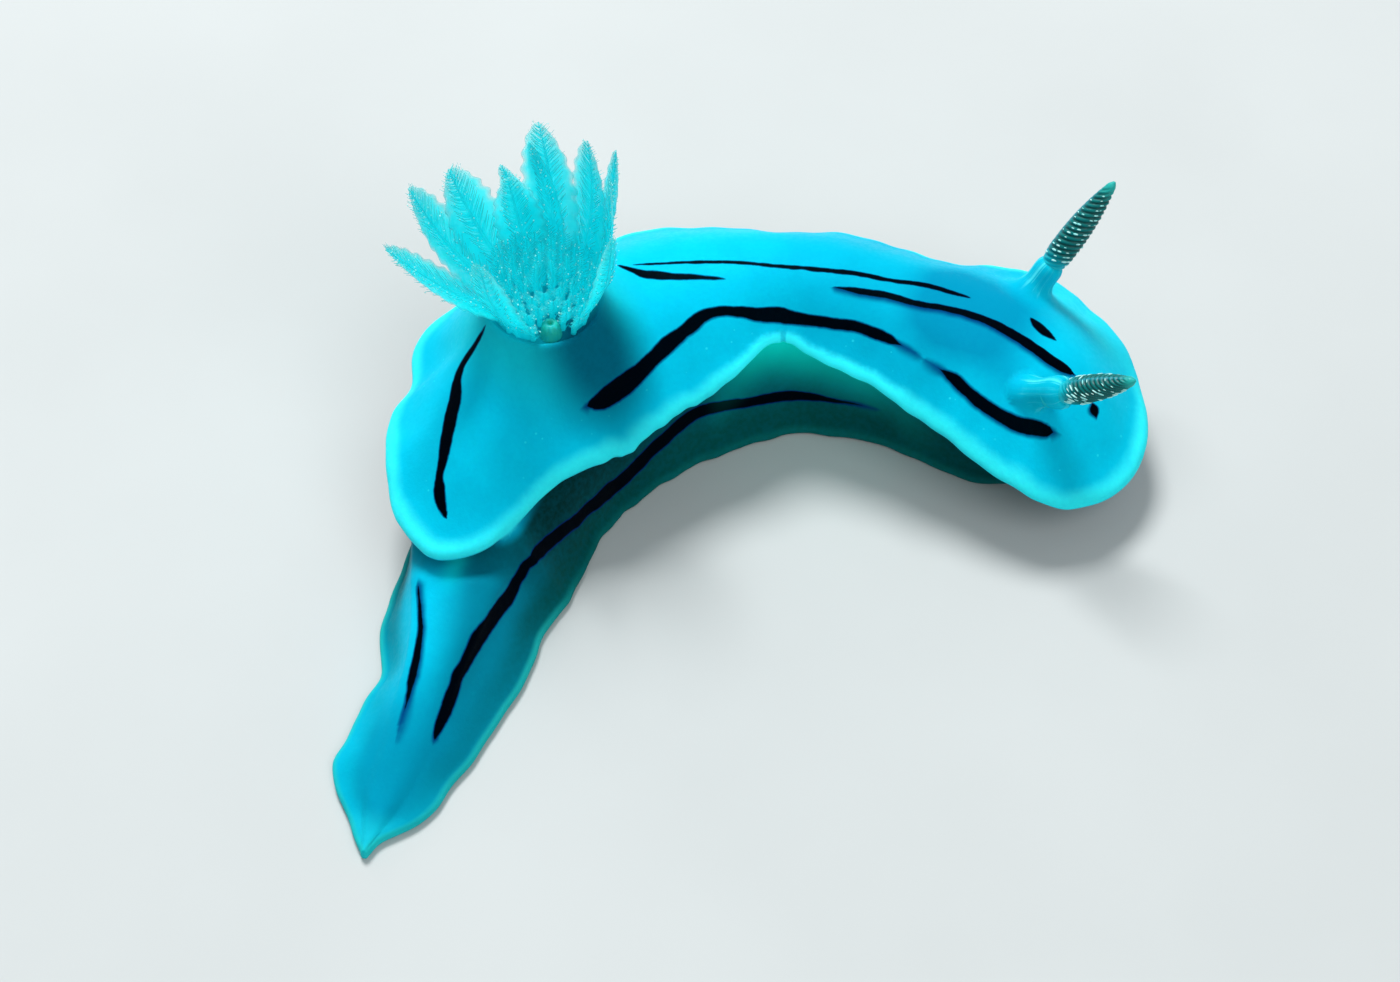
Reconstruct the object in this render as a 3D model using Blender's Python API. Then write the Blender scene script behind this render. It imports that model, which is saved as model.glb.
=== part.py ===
"""A life-size nudibranch: a chromodorid sea slug, crawling, its body bent round to its right.

Lengths are in millimetres until a mesh is made, and metres in the scene. The floor is z = 0, and the
origin is on the sole, under the middle of the body's bend. A place on the animal has three values:
along, the length of the midline from the tail tip; across, the distance from the midline, positive to
the animal's left; and height, above the floor.
"""

import math
import random

import bmesh
import bpy
import numpy as np
from mathutils import Vector

MM = 0.001
# Space between two pieces that touch on the animal.
GAP = 0.3

# Midline of the body on the floor, from the tail tip to the front of the mantle (x, y).
MIDLINE = (
    (-9.7, -21.8),
    (-8.0, -15.2),
    (-6.8, -8.6),
    (-4.5, -3.4),
    (0.0, 0.0),
    (5.4, 1.0),
    (10.8, -0.4),
    (15.4, -2.4),
    (20.4, -4.25),
)

# The mantle: along, reach to the left, reach to the right, height of the left margin, height of the
# right margin, height of the crest. The right margin rises in a fold inside the bend.
MANTLE = (
    (11.0, 4.60, 6.00, 3.6, 3.6, 3.8),
    (13.1, 4.62, 4.50, 3.7, 3.7, 5.0),
    (15.0, 4.55, 4.10, 3.9, 3.8, 5.9),
    (16.4, 4.55, 4.48, 4.0, 3.9, 6.4),
    (17.6, 4.08, 5.00, 4.2, 4.05, 6.8),
    (18.6, 4.80, 5.12, 4.3, 4.1, 7.0),
    (20.7, 4.45, 5.14, 4.5, 4.2, 7.2),
    (24.2, 4.20, 5.02, 4.6, 4.4, 7.1),
    (26.2, 4.05, 4.72, 4.6, 4.6, 7.0),
    (27.6, 3.90, 4.44, 4.6, 4.85, 7.0),
    (28.7, 3.75, 3.97, 4.6, 5.05, 7.0),
    (30.0, 3.56, 3.18, 4.6, 5.25, 7.0),
    (31.3, 3.50, 2.87, 4.6, 5.3, 7.0),
    (32.9, 3.60, 3.24, 4.6, 5.1, 6.9),
    (35.2, 3.74, 3.52, 4.35, 4.7, 6.65),
    (36.4, 4.02, 3.92, 4.15, 4.45, 6.5),
    (37.8, 4.60, 4.04, 3.9, 4.2, 6.3),
    (39.6, 5.00, 4.42, 3.7, 3.9, 6.0),
    (42.0, 4.80, 4.93, 3.1, 2.9, 5.3),
    (43.7, 4.15, 4.92, 2.7, 2.3, 4.4),
    (45.9, 2.60, 4.60, 2.1, 2.0, 2.5),
)
MANTLE_START = MANTLE[0][0]
MANTLE_END = MANTLE[-1][0]
# Length of the rounding of each end of the mantle, its power, and where the end lies across.
REAR_ROUND = (9.5, 1.7, 0.0)
FRONT_ROUND = (3.8, 2.2, -0.9)
SKIRT_THICKNESS = 0.55
# The skirt's edge is rounded over this share of the reach.
EDGE_SHARE = 0.1
DOME_POWER = 1.5
# Wave of the margin's height: its size and its length.
HEIGHT_WAVE = (0.12, 6.3)

# The foot: along, reach to the left, reach to the right.
FOOT = (
    (0.0, 0.15, 0.15),
    (0.6, 0.60, 0.45),
    (1.1, 0.95, 0.98),
    (1.6, 1.35, 1.44),
    (2.3, 1.90, 1.85),
    (3.3, 2.30, 2.10),
    (4.3, 2.26, 2.50),
    (6.0, 2.10, 2.88),
    (7.6, 1.80, 3.44),
    (9.3, 2.12, 3.80),
    (11.0, 2.20, 4.12),
    (12.8, 2.02, 4.62),
    (15.0, 2.40, 4.70),
    (20.0, 3.40, 4.90),
    (24.5, 3.70, 4.60),
    (28.5, 3.60, 4.00),
    (32.0, 3.40, 3.15),
    (36.0, 3.30, 2.75),
    (39.0, 3.40, 3.05),
    (40.6, 3.05, 2.85),
    (41.6, 2.30, 2.30),
)
FOOT_EDGE_HEIGHT = 0.28
FOOT_TOP_HEIGHT = 0.55
FOOT_EDGE_WIDTH = 0.25

# The flanks: along, across of the left shoulder, across of the right shoulder, and how the left wall
# and the right wall run from the foot to the shoulder: over 1 they are hollow, under 1 they bulge.
FLANK = (
    (0.0, 0.06, -0.06, 1.1, 1.1),
    (2.0, 0.75, -0.75, 1.0, 1.0),
    (4.5, 0.70, -1.20, 1.15, 1.15),
    (7.3, 0.62, -1.50, 1.2, 1.4),
    (9.2, 0.75, -1.95, 1.2, 1.45),
    (11.5, 1.20, -2.40, 1.15, 1.1),
    (14.9, 1.90, -2.60, 1.2, 0.65),
    (18.2, 2.70, -3.10, 1.0, 0.5),
    (22.0, 3.00, -3.40, 1.0, 1.0),
    (26.0, 2.90, -3.00, 1.0, 1.6),
    (29.0, 2.60, -2.50, 1.0, 1.5),
    (32.0, 2.50, -2.20, 1.0, 1.5),
    (36.0, 2.50, -1.95, 1.0, 1.2),
    (39.0, 2.50, -2.20, 1.2, 1.2),
    (41.6, 1.80, -1.90, 1.2, 1.2),
)
# Height of the tail's ridge, which runs in under the mantle: along, height.
RIDGE = (
    (0.0, 0.60),
    (1.0, 0.66),
    (2.5, 0.92),
    (4.5, 1.50),
    (8.0, 2.45),
    (10.5, 2.90),
    (12.5, 3.60),
    (14.0, 9.0),
)
SHOULDER_DROP = 0.35
SHOULDER_INSET = 0.45

# Cuts between the lengths of the body, and between those of the mantle.
TAIL_CUT = 11.6
BODY_CUTS = (20.0, 30.0)
BODY_END = 41.6
MANTLE_CUTS = (24.4, 31.2, 37.4)

# The gill pocket: its place, the raised collar and the hollow in its top.
GILL_ALONG = 20.8
GILL_ACROSS = 0.1
COLLAR_TOP = 8.1
COLLAR_RIM_RADIUS = 2.6
COLLAR_FOOT_RADIUS = 3.4
COLLAR_FOOT = 6.2
POCKET_RADIUS = 2.2
POCKET_DEPTH = 0.35
GILL_RING_RADIUS = 1.6
GILL_ROOT_RADIUS = 0.27
GILL_TIP_RADIUS = 0.13
PINNULE_ROOT_RADIUS = 0.24
PINNULE_TIP_RADIUS = 0.1

# The gill plumes: azimuth of the root on the ring, then where the tip is from the root (x, y, z), and
# the longest pinnule.
GILLS = (
    (200.0, (-4.00, -1.30, 4.9), 0.95),
    (168.0, (-3.20, 0.20, 5.6), 0.90),
    (137.0, (-2.20, 0.60, 5.4), 0.90),
    (106.0, (-0.80, 0.50, 4.6), 0.75),
    (74.0, (-0.50, 1.60, 6.4), 0.95),
    (42.0, (0.60, 1.00, 6.5), 0.95),
    (8.0, (1.05, 0.50, 6.0), 0.90),
    (-30.0, (1.30, -1.00, 5.4), 0.85),
    (238.0, (-1.20, -1.70, 5.4), 0.90),
)
PINNULE_STEPS = 8
PAPILLA_AZIMUTH = 282.0
PAPILLA_RADIUS = 0.38
PAPILLA_HEIGHT = 0.9

# The rhinophores: side, along, across, the way each points (x, y, z), length of its sheath, foot
# radius of its sheath, length of stalk and club.
RHINOPHORES = (
    ("left", 39.5, 2.95, (0.51, 0.25, 0.82), 0.5, 0.8, 4.9),
    ("right", 41.1, -2.40, (0.70, -0.345, 0.625), 1.65, 0.75, 3.7),
)
SHEATH_TOP_RADIUS = 0.55
STALK_SHARE = 0.14
STALK_RADIUS = 0.43
CLUB_RADIUS = 0.53
LAMELLA_COUNT = 12
LAMELLA_DEPTH = 0.1

# The head under the mantle: along, half width, lowest height, highest height.
HEAD = (
    (41.9, 1.75, 0.45, 2.00),
    (42.6, 1.55, 0.35, 1.90),
    (43.3, 1.30, 0.30, 1.75),
    (43.9, 1.12, 0.32, 1.62),
    (44.3, 1.02, 0.36, 1.55),
    (44.55, 0.82, 0.46, 1.42),
    (44.55, 0.52, 0.66, 1.20),
    (44.25, 0.30, 0.80, 1.05),
)
HEAD_ACROSS = -0.3
TENTACLE_ROOT = (43.5, 1.62, 1.0)
TENTACLE_TIP = (44.5, 2.25, 0.8)
TENTACLE_RADII = (0.36, 0.32, 0.16)

SKIN = (0.02, 0.55, 0.72)
SHADED_SKIN = (0.02, 0.35, 0.48)
GILL_SKIN = (0.12, 0.62, 0.66)
CLUB_SKIN = (0.05, 0.25, 0.24)


def through(places, table):
    """Smooth curves through the rows of a table, whose first column is the place."""
    rows = np.asarray(table, float)
    knots, values = rows[:, 0], rows[:, 1:]
    slopes = np.gradient(values, knots, axis=0)
    inside = np.clip(np.asarray(places, float), knots[0], knots[-1])
    row = np.clip(np.searchsorted(knots, inside, side="right") - 1, 0, len(knots) - 2)
    step = knots[row + 1] - knots[row]
    share = ((inside - knots[row]) / step)[..., None]
    step = step[..., None]
    start = values[row] + share * share * (3 - 2 * share) * (values[row + 1] - values[row])
    bend = share * (1 - share) * ((1 - share) * slopes[row] - share * slopes[row + 1])
    return start + step * bend


def midline_samples():
    """Points every few hundredths of a millimetre of the midline, and their lengths from the tail tip."""
    corners = np.asarray(MIDLINE)
    chords = np.concatenate([[0.0], np.cumsum(np.hypot(*np.diff(corners, axis=0).T))])
    points = through(np.linspace(0, chords[-1], 1500), np.column_stack([chords, corners]))
    lengths = np.concatenate([[0.0], np.cumsum(np.hypot(*np.diff(points, axis=0).T))])
    return points, lengths


MIDLINE_POINTS, MIDLINE_LENGTHS = midline_samples()


def midline_at(along):
    """The midline's point at a length from the tail tip."""
    return np.stack([np.interp(along, MIDLINE_LENGTHS, MIDLINE_POINTS[:, i]) for i in (0, 1)], -1)


def forward_at(along):
    """The way the midline runs at a length from the tail tip."""
    reach = 0.3
    along = np.clip(along, reach, MIDLINE_LENGTHS[-1] - reach)
    way = midline_at(along + reach) - midline_at(along - reach)
    return way / np.linalg.norm(way, axis=-1, keepdims=True)


def place(along, across, height, shift=0.0):
    """World points, in millimetres, of places on the animal, moved forward by shift."""
    along, across, height = np.broadcast_arrays(np.asarray(along, float), across, height)
    forward = forward_at(along)
    left = np.stack([-forward[..., 1], forward[..., 0]], -1)
    flat = midline_at(along) + left * across[..., None] + forward * shift
    return np.concatenate([flat, height[..., None]], -1)


def end_rounding(along, end_share_length, power, from_end):
    """The share of the full reach at a distance from a rounded end: a superellipse."""
    left_over = 1 - np.clip(from_end / end_share_length, 0, 1)
    return (1 - left_over**power) ** (1 / power)


def mantle_reach(along):
    """Across of the left and right margins, and the heights of left margin, right margin and crest."""
    left, right, left_height, right_height, crest = through(along, MANTLE).T
    rear = end_rounding(along, REAR_ROUND[0], REAR_ROUND[1], along - MANTLE_START)
    front = end_rounding(along, FRONT_ROUND[0], FRONT_ROUND[1], MANTLE_END - along)
    middle = np.where(along > 30, FRONT_ROUND[2], REAR_ROUND[2])
    share = rear * front
    lift = HEIGHT_WAVE[0] * np.sin(2 * math.pi * along / HEIGHT_WAVE[1]) * share
    across_left = middle + share * (left - middle)
    across_right = middle - share * (right + middle)
    return across_left, across_right, left_height + lift, right_height - lift, crest


def margin_height(along, across):
    """Height of the sheet that runs from the left margin to the right one."""
    left, right, left_height, right_height, _ = mantle_reach(along)
    share = np.clip((across - right) / np.maximum(left - right, 0.01), 0, 1)
    share = share * share * (3 - 2 * share)
    return right_height + (left_height - right_height) * share


def mantle_share(along, across):
    """How far a place is from the crest (0) to the margin (1)."""
    left, right, *_ = mantle_reach(along)
    middle = 0.5 * (left + right)
    crest = np.clip(0.0, middle - 0.2 * (left - right), middle + 0.2 * (left - right))
    reach = np.where(across > crest, left - crest, crest - right)
    return np.clip(np.abs(across - crest) / np.maximum(reach, 0.01), 0, 1)


def edge_thickness(share):
    """Half the skirt's thickness: full inside, rounded off at the margin."""
    return 0.5 * SKIRT_THICKNESS * np.sqrt(1 - np.clip((share - 1 + EDGE_SHARE) / EDGE_SHARE, 0, 1) ** 2)


def mantle_top(along, across):
    """Height of the mantle's upper face: a dome that flattens into the skirt."""
    share = mantle_share(along, across)
    base = margin_height(along, across)
    crest = mantle_reach(along)[4]
    dome = (1 - share * share) ** DOME_POWER
    return base + edge_thickness(share) + np.maximum(crest - base - 0.5 * SKIRT_THICKNESS, 0) * dome


def mantle_under(along, across):
    """Height of the mantle's lower face."""
    return margin_height(along, across) - edge_thickness(mantle_share(along, across))


def mantle_ring(along, shift):
    """One section of the mantle: over the top from the right margin to the left one, and back below."""
    left, right, *_ = mantle_reach(along)
    middle = 0.5 * (left + right)
    crest = float(np.clip(0.0, middle - 0.2 * (left - right), middle + 0.2 * (left - right)))
    shares = np.array([1.0, 0.975, 0.91, 0.74, 0.5, 0.25])
    across = np.concatenate([crest + (right - crest) * shares, [crest], crest + (left - crest) * shares[::-1]])
    lengths = np.full_like(across, along)
    top = place(lengths, across, mantle_top(lengths, across), shift)
    under = place(lengths, across, mantle_under(lengths, across), shift)
    return np.concatenate([top, under[-2:0:-1]])


def body_top(along, across):
    """Height of the top of the body: the tail's ridge, or what the mantle leaves room for."""
    ridge = through(along, RIDGE)[..., 0]
    below_mantle = mantle_under(np.maximum(along, MANTLE_START + 0.6), across) - GAP
    return np.minimum(ridge, below_mantle)


def wall(foot, shoulder, shoulder_height, power):
    """One side of the body, from the sole's edge up to the shoulder, as across and height."""
    outward = math.copysign(1.0, foot)
    share = np.array([0.0, 0.2, 0.45, 0.7, 0.88, 1.0])
    foot_top = foot - outward * FOOT_EDGE_WIDTH
    across = shoulder + (foot_top - shoulder) * (1 - share) ** power
    height = FOOT_TOP_HEIGHT + (shoulder_height - FOOT_TOP_HEIGHT) * share
    sole_edge = foot - outward * 0.8 * FOOT_EDGE_WIDTH
    return (
        np.concatenate([[sole_edge, foot], across]),
        np.concatenate([[0.0, FOOT_EDGE_HEIGHT], height]),
    )


def body_ring(along, shift):
    """One section of the body: up the right side, over the top, down the left side, along the sole."""
    foot_left, foot_right = through(along, FOOT)
    left, right, left_power, right_power = through(along, FLANK)
    narrow = min(1.0, 0.5 * (left - right))
    drop = SHOULDER_DROP * narrow
    inset = SHOULDER_INSET * narrow
    tops = [float(body_top(np.array(along), np.array(b))) for b in (right, right + inset, left - inset, left)]
    right_across, right_height = wall(-foot_right, right, max(tops[0] - drop, FOOT_TOP_HEIGHT), right_power)
    left_across, left_height = wall(foot_left, left, max(tops[3] - drop, FOOT_TOP_HEIGHT), left_power)
    middle = 0.5 * (left + right)
    middle_top = float(body_top(np.array(along), np.array(middle)))
    across = np.concatenate([right_across, [right + inset, middle, left - inset], left_across[::-1], [middle]])
    height = np.concatenate([right_height, [tops[1], middle_top, tops[2]], left_height[::-1], [0.0]])
    return place(np.full_like(across, along), across, height, shift)


def spread(start, end, count, round_start=False, round_end=False):
    """Places from start to end, set closer together at an end that is rounded."""
    share = np.linspace(0, 1, count)
    if round_start:
        share = 1 - np.cos(share * math.pi / 2)
    if round_end:
        share = np.sin(share * math.pi / 2)
    return start + (end - start) * share


def material(name, colour, roughness):
    """A plain Principled material."""
    made = bpy.data.materials.new(name)
    made.use_nodes = True
    shader = made.node_tree.nodes["Principled BSDF"]
    shader.inputs["Base Color"].default_value = (*colour, 1.0)
    shader.inputs["Roughness"].default_value = roughness
    shader.inputs["Metallic"].default_value = 0.0
    return made


def ring_mesh(rings):
    """A bmesh, in metres, of closed rings joined one to the next, with a flat face over each end."""
    mesh = bmesh.new()
    rows = [[mesh.verts.new(Vector(point) * MM) for point in ring] for ring in rings]
    for low, high in zip(rows, rows[1:]):
        for i in range(len(low)):
            j = (i + 1) % len(low)
            mesh.faces.new((low[i], low[j], high[j], high[i]))
    mesh.faces.new(rows[0][::-1])
    mesh.faces.new(rows[-1])
    bmesh.ops.triangulate(mesh, faces=mesh.faces[:], quad_method="FIXED", ngon_method="EAR_CLIP")
    if mesh.calc_volume(signed=True) < 0:
        bmesh.ops.reverse_faces(mesh, faces=mesh.faces[:])
    return mesh


def add_object(name, mesh, look, parent, location=(0, 0, 0)):
    """An object of a bmesh, smooth over its gentle edges, hung from the empty."""
    data = bpy.data.meshes.new(name)
    mesh.to_mesh(data)
    mesh.free()
    data.materials.append(look)
    data.shade_smooth()
    data.set_sharp_from_angle(angle=math.radians(40))
    made = bpy.data.objects.new(name, data)
    made.parent = parent
    made.location = Vector(location) * MM
    bpy.context.scene.collection.objects.link(made)
    return made


def tapered(points, radii, sides):
    """A bmesh of a round rod through points, with its own radius at each, closed by flat ends."""
    points = [Vector(p) for p in points]
    first_way = (points[1] - points[0]).normalized()
    side = first_way.orthogonal().normalized()
    rings = []
    for i, point in enumerate(points):
        way = (points[min(i + 1, len(points) - 1)] - points[max(i - 1, 0)]).normalized()
        side = (side - way * side.dot(way)).normalized()
        other = way.cross(side)
        angles = [2 * math.pi * k / sides for k in range(sides)]
        rings.append([point + radii[i] * (math.cos(a) * side + math.sin(a) * other) for a in angles])
    return ring_mesh(rings)


def apply_boolean(target, operation, others):
    """Join the others to the target, or cut them from it, and drop them."""
    group = bpy.data.collections.new(target.name + "_others")
    bpy.context.scene.collection.children.link(group)
    for other in others:
        group.objects.link(other)
    joining = target.modifiers.new("fuse", "BOOLEAN")
    joining.operation = operation
    joining.operand_type = "COLLECTION"
    joining.collection = group
    joining.solver = "EXACT"
    graph = bpy.context.evaluated_depsgraph_get()
    result = bpy.data.meshes.new_from_object(target.evaluated_get(graph))
    target.modifiers.remove(joining)
    target.data = result
    for other in others:
        bpy.data.objects.remove(other)
    bpy.data.collections.remove(group)
    keep_largest(target)


def keep_largest(target):
    """Keep only the largest closed surface of an object."""
    mesh = bmesh.new()
    mesh.from_mesh(target.data)
    bmesh.ops.remove_doubles(mesh, verts=mesh.verts[:], dist=1e-7)
    left = set(mesh.verts)
    pieces = []
    while left:
        piece, edge_of = set(), [left.pop()]
        while edge_of:
            vertex = edge_of.pop()
            piece.add(vertex)
            near = [edge.other_vert(vertex) for edge in vertex.link_edges]
            fresh = [other for other in near if other in left]
            left.difference_update(fresh)
            edge_of.extend(fresh)
        pieces.append(piece)
    pieces.sort(key=len)
    for piece in pieces[:-1]:
        bmesh.ops.delete(mesh, geom=list(piece), context="VERTS")
    bmesh.ops.triangulate(mesh, faces=mesh.faces[:])
    mesh.to_mesh(target.data)
    mesh.free()


def length_of(section, start, end, count, start_shift, end_shift, round_start=False, round_end=False):
    """A closed length of the body or the mantle between two of its cuts."""
    places = spread(start, end, count, round_start, round_end)
    shifts = [start_shift] + [0.0] * (count - 2) + [end_shift]
    return ring_mesh([section(along, shift) for along, shift in zip(places, shifts)])


def build_body(parent, look):
    """The tail, three lengths of the body with their foot, and the tail's ridge."""
    half = GAP / 2
    cuts = (0.0, TAIL_CUT, *BODY_CUTS, BODY_END)
    names = ("tail", "body_rear", "body_bend", "body_front")
    counts = (15, 9, 10, 13)
    for name, start, end, count in zip(names, cuts, cuts[1:], counts):
        first = 0.0 if start == 0.0 else half
        last = 0.0 if end == BODY_END else -half
        add_object(name, length_of(body_ring, start, end, count, first, last), look, parent)


def build_mantle(parent, look):
    """Four lengths of the mantle; the rear one carries the gill collar, the front one the sheaths."""
    half = GAP / 2
    rear, bend, front = MANTLE_CUTS
    tip = 0.02
    pieces = {
        "mantle_rear": length_of(mantle_ring, MANTLE_START + tip, rear, 16, 0, -half, round_start=True),
        "mantle_bend": length_of(mantle_ring, rear, bend, 9, half, -half),
        "mantle_middle": length_of(mantle_ring, bend, front, 8, half, -half),
        "mantle_head": length_of(mantle_ring, front, MANTLE_END - tip, 14, half, 0, round_end=True),
    }
    return {name: add_object(name, mesh, look, parent) for name, mesh in pieces.items()}


def gill_centre(height):
    """The middle of the gill collar at a height."""
    return Vector(place(GILL_ALONG, GILL_ACROSS, height))


def build_collar(mantle_rear, look, parent):
    """Raise the gill collar on the mantle and sink the pocket in its top."""
    up = [COLLAR_FOOT, COLLAR_TOP - 1.0, COLLAR_TOP - 0.25, COLLAR_TOP]
    radii = [COLLAR_FOOT_RADIUS, COLLAR_RIM_RADIUS + 0.12, COLLAR_RIM_RADIUS, COLLAR_RIM_RADIUS - 0.12]
    collar = tapered([gill_centre(z) for z in up], radii, 24)
    apply_boolean(mantle_rear, "UNION", [add_object("collar", collar, look, parent)])
    floor = COLLAR_TOP - POCKET_DEPTH
    pocket = tapered([gill_centre(floor), gill_centre(COLLAR_TOP + 1)], [POCKET_RADIUS] * 2, 24)
    apply_boolean(mantle_rear, "DIFFERENCE", [add_object("pocket", pocket, look, parent)])


def gill_shape(azimuth, tip):
    """Root and spine of a plume: it leans outward first and then rises to its tip."""
    angle = math.radians(azimuth)
    outward = Vector((math.cos(angle), math.sin(angle), 0))
    root = gill_centre(COLLAR_TOP - POCKET_DEPTH + GAP) + outward * GILL_RING_RADIUS
    bow = outward * 0.55
    spine = [Vector(tip) * t + bow * 4 * t * (1 - t) * (1 - 0.4 * t) for t in (0, 0.04, 0.2, 0.4, 0.6, 0.8, 1)]
    # The first two points stand one above the other, so that the root's face is level.
    spine[1] = Vector((spine[1].x * 0.3, spine[1].y * 0.3, spine[1].z))
    return root, outward, spine


def along_spine(spine, share):
    """A point of a spine and the way it runs there."""
    where = share * (len(spine) - 2) + 1
    step = min(int(where), len(spine) - 2)
    start, end = spine[step], spine[step + 1]
    return start.lerp(end, where - step), (end - start).normalized()


def build_gills(parent, look):
    """The plumes round the pocket: a tapered stem with a row of pinnules on each side."""
    draw = random.Random(7)
    for number, (azimuth, tip, longest) in enumerate(GILLS, 1):
        root, outward, spine = gill_shape(azimuth, tip)
        stem_radii = [
            GILL_ROOT_RADIUS + (GILL_TIP_RADIUS - GILL_ROOT_RADIUS) * (i / (len(spine) - 1)) ** 1.3
            for i in range(len(spine))
        ]
        gill = add_object(f"gill_plume_{number}", tapered(spine, stem_radii, 7), look, parent, root)
        pinnules = []
        for step in range(PINNULE_STEPS):
            for side in (-1, 1):
                share = 0.16 + 0.8 * (step + 0.25 * side + 0.3) / PINNULE_STEPS
                start, way = along_spine(spine, share)
                sideways = way.cross(outward).normalized() * side
                lean = way * draw.uniform(0.6, 0.95) + outward * draw.uniform(-0.25, 0.35)
                aim = (sideways + lean).normalized()
                swell = math.sin(math.pi * min(1.0, 0.25 + 0.85 * share)) ** 0.8
                length = longest * (0.35 + 0.65 * swell) * draw.uniform(0.85, 1.1)
                bend = way * 0.18 * length
                points = [start, start + aim * length * 0.55, start + aim * length + bend]
                thick = PINNULE_ROOT_RADIUS * (1 - 0.35 * share)
                radii = [thick, 0.8 * thick, PINNULE_TIP_RADIUS]
                name = f"pinnule_{number}_{step}_{side}"
                pinnules.append(add_object(name, tapered(points, radii, 4), look, parent, root))
        apply_boolean(gill, "UNION", pinnules)


def build_papilla(parent, look):
    """The short tube in the gap of the gill ring."""
    angle = math.radians(PAPILLA_AZIMUTH)
    root = gill_centre(COLLAR_TOP - POCKET_DEPTH + GAP)
    root += Vector((math.cos(angle), math.sin(angle), 0)) * (GILL_RING_RADIUS - 0.15)
    points = [(0, 0, z) for z in (0, 0.5 * PAPILLA_HEIGHT, 0.9 * PAPILLA_HEIGHT, PAPILLA_HEIGHT)]
    radii = [PAPILLA_RADIUS, 0.85 * PAPILLA_RADIUS, 0.8 * PAPILLA_RADIUS, 0.5 * PAPILLA_RADIUS]
    add_object("anal_papilla", tapered(points, radii, 10), look, parent, root)


def rhinophore_profile():
    """Places up a rhinophore, as shares of its length, and the radii there: a stalk, then a club whose
    radius steps in and out at each lamella, then the blunt tip."""
    shares = [0.0, STALK_SHARE * 0.6, STALK_SHARE]
    radii = [STALK_RADIUS, STALK_RADIUS * 0.86, STALK_RADIUS * 0.92]
    club = 0.93 - STALK_SHARE
    for i in range(LAMELLA_COUNT):
        middle = (i + 0.5) / LAMELLA_COUNT
        outer = CLUB_RADIUS * (1 - 0.12 * abs(middle - 0.3) - 0.42 * middle**2.4)
        start = STALK_SHARE + club * (i + 0.35) / LAMELLA_COUNT
        shares += [start, start + club * 0.3 / LAMELLA_COUNT, start + club * 0.6 / LAMELLA_COUNT]
        radii += [outer, outer * 0.98, outer - LAMELLA_DEPTH]
    shares += [0.955, 1.0]
    radii += [CLUB_RADIUS * 0.38, CLUB_RADIUS * 0.12]
    return shares, radii


def build_rhinophores(mantle_head, skin, look, parent):
    """Both rhinophores, each on the flat top of a sheath that is raised on the mantle."""
    for side, along, across, way, sheath_length, sheath_radius, length in RHINOPHORES:
        way = Vector(way).normalized()
        foot = Vector(place(along, across, float(mantle_top(np.array(along), np.array(across)))))
        points = [foot - way * 0.9, foot + way * 0.1, foot + way * sheath_length]
        radii = [sheath_radius, sheath_radius * 0.85, SHEATH_TOP_RADIUS]
        sheath = add_object("sheath_" + side, tapered(points, radii, 14), skin, parent)
        apply_boolean(mantle_head, "UNION", [sheath])
        root = foot + way * (sheath_length + GAP)
        shares, radii = rhinophore_profile()
        club = tapered([way * share * length for share in shares], radii, 12)
        add_object("rhinophore_" + side, club, look, parent, root)


def build_head(parent, look):
    """The head under the mantle, its puckered lips, and the two oral tentacles."""
    angles = np.linspace(0, 2 * math.pi, 16, endpoint=False)
    rings = []
    for along, half_width, low, high in HEAD:
        across = HEAD_ACROSS + half_width * np.cos(angles)
        height = 0.5 * (low + high) + 0.5 * (high - low) * np.sin(angles)
        rings.append(place(np.full_like(across, along), across, height))
    add_object("head", ring_mesh(rings), look, parent)
    for side, sign in (("left", 1), ("right", -1)):
        ends = (TENTACLE_ROOT, TENTACLE_TIP)
        root, tip = (place(along, HEAD_ACROSS + sign * across, height) for along, across, height in ends)
        middle = 0.45 * root + 0.55 * tip
        shape = tapered([(0, 0, 0), middle - root, tip - root], TENTACLE_RADII, 9)
        add_object("oral_tentacle_" + side, shape, look, parent, root)


def main():
    """Build the whole animal, hung from one empty."""
    for old in list(bpy.data.objects):
        bpy.data.objects.remove(old)
    animal = bpy.data.objects.new("nudibranch", None)
    bpy.context.scene.collection.objects.link(animal)
    skin = material("mantle_skin", SKIN, 0.35)
    flank = material("flank_skin", SHADED_SKIN, 0.4)
    gill = material("gill_skin", GILL_SKIN, 0.3)
    club = material("club_skin", CLUB_SKIN, 0.4)
    build_body(animal, flank)
    mantle = build_mantle(animal, skin)
    build_collar(mantle["mantle_rear"], skin, animal)
    build_gills(animal, gill)
    build_papilla(animal, gill)
    build_rhinophores(mantle["mantle_head"], skin, club, animal)
    build_head(animal, flank)


main()
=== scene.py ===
"""The looks of a life-size nudibranch: a chromodorid sea slug, crawling, its body bent to its right.

Lengths are in millimetres until a mesh is made, and metres in the scene. The floor is z = 0. A place on
the animal has three values: along, the length of the midline from the tail tip; across, the distance
from the midline, positive to the animal's left; and height, above the floor.
"""

import logging
import math
from dataclasses import dataclass, field, replace
from enum import Enum
from functools import cached_property
from typing import Sequence

import bpy
import numpy as np
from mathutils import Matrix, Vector
from mathutils.bvhtree import BVHTree


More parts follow.
